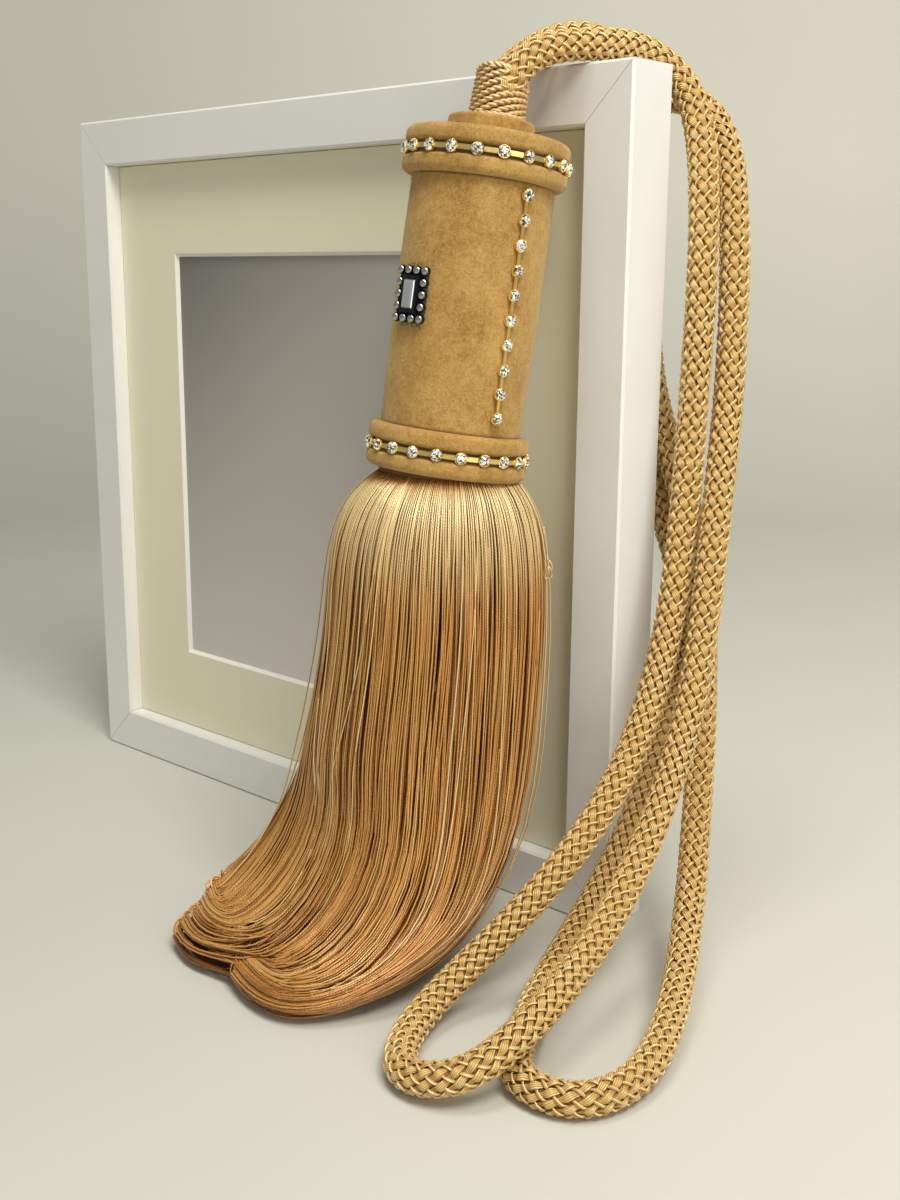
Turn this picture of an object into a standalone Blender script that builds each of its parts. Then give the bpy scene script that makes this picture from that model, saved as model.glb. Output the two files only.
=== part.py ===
import math
import random
from typing import NamedTuple

import bmesh
import bpy
from mathutils import Matrix, Vector

# Curtain tieback tassel hung over a picture frame. Metres, +Z up.
# The origin is the centre of the frame's underside. X runs along the frame, and its front faces -Y.

# Picture frame
FRAME_WIDTH = 0.300
FRAME_HEIGHT = 0.288
FRAME_DEPTH = 0.0206
BAR_WIDTH = 0.019
BAR_EDGE = 0.0008
MITRE_GAP = 0.0003

# Mat panel inside the frame
PANEL_RECESS = 0.0068
PANEL_THICKNESS = 0.0030
PANEL_GAP = 0.0003

# Tassel head, turned about its own axis. Heights are measured along it from HEAD_ORIGIN.
HEAD_ORIGIN = Vector((0.1076, -0.0475, 0.1659))
HEAD_TOP = Vector((0.1140, -0.0364, 0.2608))
HEAD_AXIS = (HEAD_TOP - HEAD_ORIGIN).normalized()
HEAD_SEGMENTS = 40
PIECE_GAP = 0.0003
COLLAR_RADIUS = 0.0257
COLLAR_HALF = 0.0068
COLLAR_ROUNDING = 0.0022
COLLAR_LOWER_MIDDLE = 0.0015
COLLAR_UPPER_MIDDLE = 0.0927
GROOVE_HALF = 0.0026
GROOVE_DEPTH = 0.0014
GROOVE_FLARE = 0.7
ROUNDING_KNEE = 0.3
BARREL_RADIUS = 0.0226
CAP_RADIUS = 0.0135
CAP_HEIGHT = 0.0050
CAP_ROUNDING = 0.0016

# Crystal chains: cups joined by flat links
CUP_HALF_WIDTH = 0.0021
CUP_PROUD = 0.0026
CUP_NECK = 1.25
LINK_HALF_WIDTH = 0.0007
LINK_PROUD = 0.0009
CHAIN_UPPER_CUPS = 20
CHAIN_UPPER_START = math.radians(-55.2)
CHAIN_LOWER_CUPS = 21
CHAIN_LOWER_START = math.radians(-55.4)
CHAIN_SIDE_CUPS = 10
CHAIN_SIDE_FIRST = 0.0146
CHAIN_SIDE_PITCH = 0.0075
CHAIN_SIDE_AZIMUTH = math.radians(-13.2)

# Brooch on the barrel
BROOCH_AZIMUTH = math.radians(-95.0)
BROOCH_HEIGHT = 0.0485
BROOCH_WIDTH = 0.0138
BROOCH_TALL = 0.0185
BROOCH_PLATE = 0.0020
BROOCH_STONE_WIDTH = 0.0064
BROOCH_STONE_TALL = 0.0092
BROOCH_STONE_PROUD = 0.0022
BROOCH_STONE_BEVEL = 0.0008
BROOCH_TAPER = 0.86
BROOCH_EDGE = 0.4
STONE_TABLE = 0.7

# Neck whipping round the two rope ends
WHIPPING_RADIUS = 0.0089
WHIPPING_TOP_CENTRE = Vector((0.1150, -0.0311, 0.2806))
WHIPPING_TOP_NORMAL = Vector((0.27, 0.67, 0.69)).normalized()
WHIPPING_TOP_DEEP = 0.0105
WHIPPING_ROPE_GAP = 0.0008
WHIPPING_SIDE = Vector((0.738, 0.674, 0.0))
WHIPPING_SEGMENTS = 24

# Rope: one length, both ends in the neck. Its route is chosen by hand, from the front end
# over the frame, down, round on the surface, up behind the frame and back, twice.
ROPE_DIAMETER = 0.010
ROPE_POINTS = 80
ROPE_TURN_PER_POINT = 0.46
ROPE_KNOT_POWER = 0.75
ROPE_ROUTE = [
    (0.1202, -0.0334, 0.2808), (0.1230, -0.0260, 0.2888), (0.1325, -0.0050, 0.2938),
    (0.1380, 0.0120, 0.2930), (0.1465, 0.0210, 0.2840), (0.1560, 0.0195, 0.2640),
    (0.1645, 0.0080, 0.1780), (0.1675, -0.0050, 0.1120), (0.1685, -0.0370, 0.0610),
    (0.1585, -0.0750, 0.0260), (0.1515, -0.0980, 0.0096), (0.1560, -0.1160, 0.0056),
    (0.1695, -0.1295, 0.0058), (0.1855, -0.1255, 0.0100), (0.1920, -0.1080, 0.0174),
    (0.1875, -0.0650, 0.0305), (0.1810, -0.0130, 0.0840), (0.1764, 0.0055, 0.1400),
    (0.1705, 0.0200, 0.1900), (0.1635, 0.0280, 0.2480), (0.1530, 0.0335, 0.2710),
    (0.1370, 0.0345, 0.2810), (0.1195, 0.0300, 0.2760), (0.1120, 0.0220, 0.2380),
    (0.1420, 0.0195, 0.1550), (0.1550, 0.0230, 0.1080), (0.1575, -0.0120, 0.0350),
    (0.1690, -0.0700, 0.0064), (0.1820, -0.0955, 0.0055), (0.1930, -0.1088, 0.0054),
    (0.2095, -0.1085, 0.0053), (0.2175, -0.0940, 0.0056), (0.2055, -0.0500, 0.0130),
    (0.1785, 0.0000, 0.0480), (0.1590, 0.0185, 0.1420), (0.1410, 0.0185, 0.1880),
    (0.1300, 0.0212, 0.2750), (0.1242, 0.0090, 0.2962), (0.1153, -0.0140, 0.2932),
    (0.1098, -0.0288, 0.2804),
]

# Skirt: locks that leave one backing under the lower collar, hang, and sweep forward on the surface.
BACKING_RADIUS = 0.0250
BACKING_THICKNESS = 0.0026
SWEEP_HEADING = math.radians(-98)
LOCK_SECTORS = 36
LOCK_RING_EDGES = (1.0, 0.77, 0.54, 0.31)
LOCK_FILL = 0.84
LOCK_TAPER = 0.55
LOCK_STEPS = (0.05, 0.18, 0.34, 0.50, 0.64, 0.77, 0.89, 1.0)
LOCK_WANDER = 0.05
TIP_ROUNDING = 0.05
TIP_NOTCH = 0.014
TIP_NOTCH_HALF = 0.15
TIP_LAYER = 0.07
TIP_UNEVEN = 0.012
FLOOR_CLEARANCE = 0.0004
SEED = 7


class SkirtRow(NamedTuple):
    x: float
    y: float
    z: float
    across: float
    deep: float
    tilt: float


# Centre of the bundle, its half size across and through the sweep, and its tilt in degrees
SKIRT_ROWS = (
    SkirtRow(0.1066, -0.0489, 0.1570, 0.0262, 0.0258, 0),
    SkirtRow(0.1063, -0.0495, 0.1500, 0.0308, 0.0303, 0),
    SkirtRow(0.1059, -0.0499, 0.1390, 0.0343, 0.0338, 0),
    SkirtRow(0.1054, -0.0502, 0.1180, 0.0359, 0.0355, 0),
    SkirtRow(0.1036, -0.0516, 0.0920, 0.0376, 0.0361, 3),
    SkirtRow(0.1019, -0.0535, 0.0680, 0.0398, 0.0366, 10),
    SkirtRow(0.1002, -0.0585, 0.0475, 0.0430, 0.0360, 28),
    SkirtRow(0.0983, -0.0690, 0.0308, 0.0466, 0.0296, 49),
    SkirtRow(0.0948, -0.0855, 0.0186, 0.0508, 0.0184, 69),
    SkirtRow(0.0918, -0.1045, 0.0104, 0.0518, 0.0101, 81),
    SkirtRow(0.0885, -0.1290, 0.0056, 0.0470, 0.0054, 88),
)

COLOURS = {
    "painted_wood": (0.83, 0.83, 0.80),
    "mat_board": (0.66, 0.63, 0.44),
    "flocked_cloth": (0.55, 0.36, 0.12),
    "flocked_collar": (0.52, 0.33, 0.11),
    "gold_metal": (0.80, 0.58, 0.24),
    "dark_setting": (0.03, 0.03, 0.035),
    "whipping_cord": (0.60, 0.42, 0.16),
    "braided_rope": (0.66, 0.45, 0.18),
    "skirt_thread": (0.62, 0.38, 0.13),
}


def clear_scene():
    for existing in list(bpy.data.objects):
        bpy.data.objects.remove(existing, do_unlink=True)


def principled(name, roughness, metallic=0.0):
    material = bpy.data.materials.new(name)
    material.use_nodes = True
    shader = material.node_tree.nodes["Principled BSDF"]
    shader.inputs["Base Color"].default_value = (*COLOURS[name], 1.0)
    shader.inputs["Roughness"].default_value = roughness
    shader.inputs["Metallic"].default_value = metallic
    return material


def link(name, data, material, parent=None):
    body = bpy.data.objects.new(name, data)
    data.materials.append(material)
    bpy.context.scene.collection.objects.link(body)
    body.parent = parent
    return body


def finish_mesh(bm, name, material, parent=None, smooth_angle=35):
    bmesh.ops.recalc_face_normals(bm, faces=bm.faces)
    if bm.calc_volume(signed=True) < 0:
        bmesh.ops.reverse_faces(bm, faces=bm.faces)
    mesh = bpy.data.meshes.new(name)
    bm.to_mesh(mesh)
    bm.free()
    mesh.shade_smooth()
    mesh.set_sharp_from_angle(angle=math.radians(smooth_angle))
    return link(name, mesh, material, parent)


def ring_faces(bm, lower, upper):
    for i, vert in enumerate(lower):
        after = (i + 1) % len(lower)
        bm.faces.new((vert, lower[after], upper[after], upper[i]))


def loft(bm, rings):
    rings = [[bm.verts.new(point) for point in ring] for ring in rings]
    for lower, upper in zip(rings, rings[1:]):
        ring_faces(bm, lower, upper)
    bm.faces.new(list(reversed(rings[0])))
    bm.faces.new(rings[-1])


def turned(name, profile, material, parent):
    bm = bmesh.new()
    rings = []
    for radius, height in profile:
        ring = []
        for i in range(HEAD_SEGMENTS):
            angle = math.tau * i / HEAD_SEGMENTS
            ring.append(Vector((radius * math.cos(angle), radius * math.sin(angle), height)))
        rings.append(ring)
    loft(bm, rings)
    return finish_mesh(bm, name, material, parent)


# Picture frame

def mitred_bar(name, length, material, place):
    half = length / 2 - MITRE_GAP / 2
    inner = half - BAR_WIDTH
    front = -FRAME_DEPTH / 2
    back = FRAME_DEPTH / 2
    bm = bmesh.new()
    corners = []
    for y in (front, back):
        outline = ((-half, 0.0), (half, 0.0), (inner, BAR_WIDTH), (-inner, BAR_WIDTH))
        corners.append([bm.verts.new((x, y, z)) for x, z in outline])
    ring_faces(bm, *corners)
    bm.faces.new(list(reversed(corners[0])))
    bm.faces.new(corners[1])
    long_edges = [edge for edge in bm.edges if abs(edge.verts[0].co.x - edge.verts[1].co.x) > BAR_WIDTH * 2]
    front_edges = [edge for edge in long_edges if edge.verts[0].co.y < 0]
    bmesh.ops.bevel(bm, geom=front_edges, offset=BAR_EDGE, segments=1, affect="EDGES")
    bar = finish_mesh(bm, name, material)
    bar.matrix_world = place
    return bar


def picture_frame():
    material = principled("painted_wood", 0.45)
    upright = Matrix.Rotation(math.radians(90), 4, "Y")
    side_middle = FRAME_HEIGHT / 2
    mitred_bar("frame_bottom", FRAME_WIDTH, material, Matrix.Identity(4))
    flip = Matrix.Rotation(math.pi, 4, "Y")
    mitred_bar("frame_top", FRAME_WIDTH, material, Matrix.Translation((0, 0, FRAME_HEIGHT)) @ flip)
    left = Matrix.Translation((-FRAME_WIDTH / 2, 0, side_middle)) @ upright
    right = Matrix.Translation((FRAME_WIDTH / 2, 0, side_middle)) @ flip @ upright
    mitred_bar("frame_left", FRAME_HEIGHT, material, left)
    mitred_bar("frame_right", FRAME_HEIGHT, material, right)


def mat_panel():
    half_width = FRAME_WIDTH / 2 - BAR_WIDTH - PANEL_GAP
    bottom = BAR_WIDTH + PANEL_GAP
    top = FRAME_HEIGHT - BAR_WIDTH - PANEL_GAP
    front = -FRAME_DEPTH / 2 + PANEL_RECESS
    corners = ((-half_width, bottom), (half_width, bottom), (half_width, top), (-half_width, top))
    bm = bmesh.new()
    loft(bm, [[Vector((x, y, z)) for x, z in corners] for y in (front + PANEL_THICKNESS, front)])
    finish_mesh(bm, "mat_panel", principled("mat_board", 0.85))


# Tassel head

def head_axis():
    axis = bpy.data.objects.new("head_axis", None)
    bpy.context.scene.collection.objects.link(axis)
    axis.rotation_mode = "QUATERNION"
    axis.rotation_quaternion = Vector((0, 0, 1)).rotation_difference(HEAD_AXIS)
    axis.location = HEAD_ORIGIN
    return axis


def collar(name, middle, material, axis):
    groove = COLLAR_RADIUS - GROOVE_DEPTH
    edge = COLLAR_RADIUS - COLLAR_ROUNDING
    knee = COLLAR_RADIUS - COLLAR_ROUNDING * ROUNDING_KNEE
    upper_half = [
        (groove, GROOVE_HALF), (COLLAR_RADIUS, GROOVE_HALF + GROOVE_DEPTH * GROOVE_FLARE),
        (knee, COLLAR_HALF - COLLAR_ROUNDING * ROUNDING_KNEE), (edge, COLLAR_HALF),
    ]
    lower_half = [(radius, -height) for radius, height in reversed(upper_half)]
    profile = [(radius, middle + height) for radius, height in lower_half + upper_half]
    turned(name, profile, material, axis)


def tassel_head(axis):
    flock = principled("flocked_cloth", 0.8)
    collar_flock = principled("flocked_collar", 0.8)
    collar("collar_lower", COLLAR_LOWER_MIDDLE, collar_flock, axis)
    collar("collar_upper", COLLAR_UPPER_MIDDLE, collar_flock, axis)
    low = COLLAR_LOWER_MIDDLE + COLLAR_HALF + PIECE_GAP
    high = COLLAR_UPPER_MIDDLE - COLLAR_HALF - PIECE_GAP
    turned("head_barrel", [(BARREL_RADIUS, low), (BARREL_RADIUS, high)], flock, axis)
    seat = cap_seat()
    top = seat + CAP_HEIGHT
    cap_profile = [
        (CAP_RADIUS, seat), (CAP_RADIUS, top - CAP_ROUNDING),
        (CAP_RADIUS - CAP_ROUNDING * ROUNDING_KNEE, top - CAP_ROUNDING * ROUNDING_KNEE), (CAP_RADIUS - CAP_ROUNDING, top),
    ]
    turned("head_cap", cap_profile, flock, axis)


def cap_seat():
    return COLLAR_UPPER_MIDDLE + COLLAR_HALF + PIECE_GAP


# Chains: a band whose section swells at each cup

def chain_section(point, outward, across, in_cup):
    proud = CUP_PROUD if in_cup else LINK_PROUD
    half = CUP_HALF_WIDTH if in_cup else LINK_HALF_WIDTH
    return [
        point - across * half, point + outward * proud - across * half,
        point + outward * proud + across * half, point + across * half,
    ]


def chain_round(name, cups, start, height, material, axis):
    radius = COLLAR_RADIUS - GROOVE_DEPTH + PIECE_GAP
    across = Vector((0, 0, 1))
    bm = bmesh.new()
    sections = []
    cup_turn = CUP_HALF_WIDTH / radius
    neck_turn = cup_turn * CUP_NECK
    for cup in range(cups):
        middle = start + math.tau * cup / cups
        for turn, in_cup in ((-neck_turn, False), (-cup_turn, True), (cup_turn, True), (neck_turn, False)):
            outward = Vector((math.cos(middle + turn), math.sin(middle + turn), 0))
            point = outward * radius + across * height
            sections.append([bm.verts.new(corner) for corner in chain_section(point, outward, across, in_cup)])
    for i, section in enumerate(sections):
        ring_faces(bm, section, sections[(i + 1) % len(sections)])
    finish_mesh(bm, name, material, axis, smooth_angle=20)


def chain_side(material, axis):
    outward = Vector((math.cos(CHAIN_SIDE_AZIMUTH), math.sin(CHAIN_SIDE_AZIMUTH), 0))
    across = Vector((-outward.y, outward.x, 0))
    rings = []
    for cup in range(CHAIN_SIDE_CUPS):
        middle = CHAIN_SIDE_FIRST + CHAIN_SIDE_PITCH * cup
        for reach, in_cup in ((-CUP_NECK, False), (-1.0, True), (1.0, True), (CUP_NECK, False)):
            height = middle + reach * CUP_HALF_WIDTH
            point = outward * (BARREL_RADIUS + PIECE_GAP) + Vector((0, 0, height))
            rings.append(chain_section(point, outward, across, in_cup))
    bm = bmesh.new()
    loft(bm, rings)
    finish_mesh(bm, "chain_side", material, axis, smooth_angle=20)


def crystal_chains(axis):
    gold = principled("gold_metal", 0.3, 1.0)
    chain_round("chain_upper", CHAIN_UPPER_CUPS, CHAIN_UPPER_START, COLLAR_UPPER_MIDDLE, gold, axis)
    chain_round("chain_lower", CHAIN_LOWER_CUPS, CHAIN_LOWER_START, COLLAR_LOWER_MIDDLE, gold, axis)
    chain_side(gold, axis)


def brooch(axis):
    def rectangle(half_width, half_tall, proud):
        corners = ((-1, -1), (1, -1), (1, 1), (-1, 1))
        return [Vector((proud, x * half_width, z * half_tall)) for x, z in corners]

    width = BROOCH_WIDTH / 2
    tall = BROOCH_TALL / 2
    stone_width = BROOCH_STONE_WIDTH / 2
    stone_tall = BROOCH_STONE_TALL / 2
    stone_top = BROOCH_PLATE + BROOCH_STONE_PROUD
    bm = bmesh.new()
    loft(bm, [
        rectangle(width * BROOCH_TAPER, tall * BROOCH_TAPER, 0.0),
        rectangle(width, tall, BROOCH_PLATE * BROOCH_EDGE),
        rectangle(width * BROOCH_TAPER, tall * BROOCH_TAPER, BROOCH_PLATE),
        rectangle(stone_width, stone_tall, BROOCH_PLATE),
        rectangle(stone_width, stone_tall, stone_top - BROOCH_STONE_BEVEL),
        rectangle(stone_width * STONE_TABLE, stone_tall * STONE_TABLE, stone_top),
    ])
    plate = finish_mesh(bm, "brooch", principled("dark_setting", 0.25, 0.6), axis, smooth_angle=20)
    plate.rotation_euler = (0, 0, BROOCH_AZIMUTH)
    outward = Vector((math.cos(BROOCH_AZIMUTH), math.sin(BROOCH_AZIMUTH), 0))
    plate.location = outward * (BARREL_RADIUS + PIECE_GAP) + Vector((0, 0, BROOCH_HEIGHT))


def neck_whipping():
    base_centre = HEAD_ORIGIN + HEAD_AXIS * (cap_seat() + CAP_HEIGHT + PIECE_GAP)
    top_centre = WHIPPING_TOP_CENTRE - WHIPPING_TOP_NORMAL * WHIPPING_ROPE_GAP

    def ring(centre, normal, half_side, half_deep):
        first = (WHIPPING_SIDE - normal * WHIPPING_SIDE.dot(normal)).normalized()
        second = normal.cross(first)
        points = []
        for i in range(WHIPPING_SEGMENTS):
            angle = math.tau * i / WHIPPING_SEGMENTS
            points.append(centre + first * math.cos(angle) * half_side + second * math.sin(angle) * half_deep)
        return points

    base = ring(base_centre, HEAD_AXIS, WHIPPING_RADIUS, WHIPPING_RADIUS)
    top = ring(top_centre, WHIPPING_TOP_NORMAL, WHIPPING_RADIUS, WHIPPING_TOP_DEEP)
    bm = bmesh.new()
    loft(bm, [base, top])
    finish_mesh(bm, "neck_whipping", principled("whipping_cord", 0.6))


# Rope

def spline_through(points, steps=24):
    count = len(points)
    spans = [(points[i + 1] - points[i]).length ** ROPE_KNOT_POWER for i in range(count - 1)]
    bends = natural_bends(points, spans)
    curve = []
    for i, span in enumerate(spans):
        for step in range(steps):
            after = span * step / steps
            before = span - after
            value = bends[i] * before ** 3 / (6 * span) + bends[i + 1] * after ** 3 / (6 * span)
            value += (points[i] / span - bends[i] * span / 6) * before
            value += (points[i + 1] / span - bends[i + 1] * span / 6) * after
            curve.append(value)
    curve.append(points[-1].copy())
    return curve


def natural_bends(points, spans):
    last = len(points) - 1
    slopes = [0.0] * (last + 1)
    bends = [Vector((0, 0, 0)) for _ in points]
    for i in range(1, last):
        pull = 6 * ((points[i + 1] - points[i]) / spans[i] - (points[i] - points[i - 1]) / spans[i - 1])
        pivot = 2 * (spans[i - 1] + spans[i]) - spans[i - 1] * slopes[i - 1]
        slopes[i] = spans[i] / pivot
        bends[i] = (pull - bends[i - 1] * spans[i - 1]) / pivot
    for i in range(last - 1, 0, -1):
        bends[i] -= bends[i + 1] * slopes[i]
    return bends


def spaced_points(curve, count):
    # Points stand closer together where the rope turns.
    travel = [0.0]
    length = sum((b - a).length for a, b in zip(curve, curve[1:]))
    turns = [0.0]
    for before, here, after in zip(curve, curve[1:], curve[2:]):
        turns.append((here - before).angle(after - here))
    turns.append(0.0)
    straight_share = max(1.0, count - 1 - sum(turns) / ROPE_TURN_PER_POINT)
    for i, (a, b) in enumerate(zip(curve, curve[1:])):
        turn = (turns[i] + turns[i + 1]) / 2
        travel.append(travel[-1] + turn / ROPE_TURN_PER_POINT + (b - a).length / length * straight_share)
    picked = []
    place = 0
    for step in range(count):
        wanted = travel[-1] * step / (count - 1)
        while place < len(travel) - 2 and travel[place + 1] < wanted:
            place += 1
        share = (wanted - travel[place]) / (travel[place + 1] - travel[place])
        picked.append(curve[place].lerp(curve[place + 1], min(1.0, share)))
    return picked


def rope():
    route = [Vector(point) for point in ROPE_ROUTE]
    points = spaced_points(spline_through(route), ROPE_POINTS)
    data = bpy.data.curves.new("rope", "CURVE")
    data.dimensions = "3D"
    spline = data.splines.new("POLY")
    spline.points.add(len(points) - 1)
    for slot, point in zip(spline.points, points):
        slot.co = (*point, 1.0)
    data.bevel_depth = ROPE_DIAMETER / 2
    data.bevel_resolution = 2
    data.use_fill_caps = True
    data.render_resolution_u = 0
    link("rope", data, principled("braided_rope", 0.6))


# Skirt

def skirt_row(t):
    place = t * (len(SKIRT_ROWS) - 1)
    i = min(int(place), len(SKIRT_ROWS) - 2)
    f = place - i
    before = SKIRT_ROWS[max(i - 1, 0)]
    after = SKIRT_ROWS[min(i + 2, len(SKIRT_ROWS) - 1)]
    mixed = []
    for p0, p1, p2, p3 in zip(before, SKIRT_ROWS[i], SKIRT_ROWS[i + 1], after):
        bend = 2 * p1 + (p2 - p0) * f + (2 * p0 - 5 * p1 + 4 * p2 - p3) * f ** 2
        mixed.append(0.5 * (bend + (3 * p1 - p0 - 3 * p2 + p3) * f ** 3))
    return SkirtRow(*mixed)


def skirt_point(ring, sector, t):
    # ring 1 is the skirt's outside; sector runs round it, and t from the root to the tip
    row = skirt_row(t)
    angle = math.tau * sector / LOCK_SECTORS
    forward = Vector((math.cos(SWEEP_HEADING), math.sin(SWEEP_HEADING), 0))
    across = Vector((-forward.y, forward.x, 0))
    tilt = math.radians(row.tilt)
    through = forward * math.cos(tilt) + Vector((0, 0, math.sin(tilt)))
    point = Vector((row.x, row.y, row.z))
    point += across * row.across * ring * math.cos(angle)
    point += through * row.deep * ring * math.sin(angle)
    point.z = max(point.z, FLOOR_CLEARANCE)
    return point


def tip_reach(angle, ring, rng):
    # The top layer reaches furthest, in two rounded lobes with a notch between them.
    across = ring * math.cos(angle)
    notch = TIP_NOTCH * math.exp(-(across / TIP_NOTCH_HALF) ** 2)
    layer = TIP_LAYER * (1 - ring * math.sin(angle)) / 2
    return 1 - TIP_ROUNDING * across ** 4 - notch - layer - rng.uniform(0.0, TIP_UNEVEN)


def backing_corner(ring, sector, thickness):
    azimuth = SWEEP_HEADING + math.pi / 2 - math.tau * sector / LOCK_SECTORS
    side = (Vector((1, 0, 0)) - HEAD_AXIS * HEAD_AXIS.x).normalized()
    other = HEAD_AXIS.cross(side)
    seat = HEAD_ORIGIN + HEAD_AXIS * (COLLAR_LOWER_MIDDLE - COLLAR_HALF - PIECE_GAP - thickness)
    return seat + (side * math.cos(azimuth) + other * math.sin(azimuth)) * BACKING_RADIUS * ring


def lock(bm, ring_in, ring_out, sector, root, rng):
    middle_ring = (ring_in + ring_out) / 2
    half_ring = (ring_out - ring_in) / 2
    angle = math.tau * (sector + 0.5) / LOCK_SECTORS
    reach = tip_reach(angle, middle_ring, rng)
    sway = rng.uniform(-LOCK_WANDER, LOCK_WANDER)
    lower = root
    for step in LOCK_STEPS:
        t = step * reach
        fill = LOCK_FILL * (1 if step < 1 else LOCK_TAPER)
        shift = sway * math.sin(math.pi * step)
        corners = []
        for ring_side, sector_side in ((-1, -1), (1, -1), (1, 1), (-1, 1)):
            ring = middle_ring + ring_side * half_ring * fill
            around = sector + 0.5 + sector_side * 0.5 * fill + shift
            corners.append(bm.verts.new(skirt_point(ring, around, t)))
        ring_faces(bm, lower, corners)
        lower = corners
    bm.faces.new(lower)


def skirt():
    rng = random.Random(SEED)
    bm = bmesh.new()
    top = [bm.verts.new(backing_corner(1.0, s, 0.0)) for s in range(LOCK_SECTORS)]
    bm.faces.new(top)
    circles = []
    for ring in LOCK_RING_EDGES:
        circles.append([bm.verts.new(backing_corner(ring, s, BACKING_THICKNESS)) for s in range(LOCK_SECTORS)])
    ring_faces(bm, top, circles[0])
    bm.faces.new(list(reversed(circles[-1])))
    for i, (outer, inner) in enumerate(zip(circles, circles[1:])):
        for s in range(LOCK_SECTORS):
            after = (s + 1) % LOCK_SECTORS
            root = [inner[s], outer[s], outer[after], inner[after]]
            lock(bm, LOCK_RING_EDGES[i + 1], LOCK_RING_EDGES[i], s, root, rng)
    finish_mesh(bm, "skirt", principled("skirt_thread", 0.5), smooth_angle=50)


def build():
    clear_scene()
    picture_frame()
    mat_panel()
    axis = head_axis()
    tassel_head(axis)
    crystal_chains(axis)
    brooch(axis)
    neck_whipping()
    rope()
    skirt()


build()
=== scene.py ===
# Curtain tieback tassel over a picture frame: finishes, threads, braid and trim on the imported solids.
import math

import bpy
import numpy as np
from mathutils import Matrix, Vector


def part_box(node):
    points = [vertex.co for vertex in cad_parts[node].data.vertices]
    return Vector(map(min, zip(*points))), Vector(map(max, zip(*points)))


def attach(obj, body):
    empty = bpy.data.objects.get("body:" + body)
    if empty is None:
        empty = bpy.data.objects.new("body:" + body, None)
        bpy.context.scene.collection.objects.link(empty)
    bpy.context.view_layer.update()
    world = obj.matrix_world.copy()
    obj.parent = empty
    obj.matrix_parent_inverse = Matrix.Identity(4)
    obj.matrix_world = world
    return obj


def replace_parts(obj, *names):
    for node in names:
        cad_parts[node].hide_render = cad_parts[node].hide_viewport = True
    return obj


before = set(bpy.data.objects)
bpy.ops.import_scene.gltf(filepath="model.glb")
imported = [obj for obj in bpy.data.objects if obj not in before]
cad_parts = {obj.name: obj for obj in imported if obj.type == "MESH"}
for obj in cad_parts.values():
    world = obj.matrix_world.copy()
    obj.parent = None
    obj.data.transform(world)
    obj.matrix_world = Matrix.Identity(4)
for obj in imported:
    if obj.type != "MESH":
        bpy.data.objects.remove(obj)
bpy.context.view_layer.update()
print("frame loaded:", len(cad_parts), "nodes")

mm = 0.001
rng = np.random.default_rng(11)

# small tools


class Wire:
    # a node's output, so that finishes can be written as plain sums
    def __init__(self, finish, socket):
        self.finish = finish
        self.socket = socket

    def maths(self, operation, first, second=0.0):
        return self.finish.node("ShaderNodeMath", {"operation": operation}, {0: first, 1: second})

    def __add__(self, other):
        return self.maths("ADD", self, other)

    def __radd__(self, other):
        return self.maths("ADD", other, self)

    def __sub__(self, other):
        return self.maths("SUBTRACT", self, other)

    def __rsub__(self, other):
        return self.maths("SUBTRACT", other, self)

    def __mul__(self, other):
        return self.maths("MULTIPLY", self, other)

    def __rmul__(self, other):
        return self.maths("MULTIPLY", other, self)

    def __pow__(self, other):
        return self.maths("POWER", self, other)


class Finish:
    def __init__(self, name, **values):
        self.material = bpy.data.materials.new(name)
        self.material.use_nodes = True
        self.tree = self.material.node_tree
        self.shader = self.tree.nodes["Principled BSDF"]
        for socket, value in values.items():
            self.wear(socket, value)

    def node(self, kind, settings=None, sockets=None, output=0):
        made = self.tree.nodes.new(kind)
        for key, value in (settings or {}).items():
            if key == "stops":
                self.setStops(made.color_ramp, value)
            else:
                setattr(made, key, value)
        for key, value in (sockets or {}).items():
            self.feed(made.inputs[key], value)
        return Wire(self, made.outputs[output])

    def setStops(self, ramp, stops):
        while len(ramp.elements) < len(stops):
            ramp.elements.new(0.5)
        for element, (place, colour) in zip(ramp.elements, stops):
            element.position = place
            element.color = (*colour, 1.0)

    def feed(self, socket, value):
        if isinstance(value, Wire):
            self.tree.links.new(value.socket, socket)
        elif socket.type == "RGBA":
            socket.default_value = (*value[:3], 1.0)
        else:
            socket.default_value = value

    def wear(self, socket, value):
        self.feed(self.shader.inputs[socket.replace("_", " ")], value)

    def place(self):
        return self.node("ShaderNodeTexCoord", output=3)

    def noise(self, scale, detail=3.0, rough=0.55):
        return self.node("ShaderNodeTexNoise", None, {
            "Vector": self.place(), "Scale": scale, "Detail": detail, "Roughness": rough})

    def ramp(self, factor, stops):
        return self.node("ShaderNodeValToRGB", {"stops": stops}, {"Fac": factor})

    def mix(self, factor, first, second):
        return self.node("ShaderNodeMix", {"data_type": "RGBA"}, {0: factor, 6: first, 7: second}, output=2)

    def attribute(self, name):
        return self.node("ShaderNodeAttribute", {"attribute_name": name}, output=2)

    def bump(self, height, distance, strength=1.0):
        return self.node("ShaderNodeBump", None, {
            "Height": height, "Distance": distance, "Strength": strength})

    def wave(self, value):
        return self.node("ShaderNodeMath", {"operation": "SINE"}, {0: value})


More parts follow.
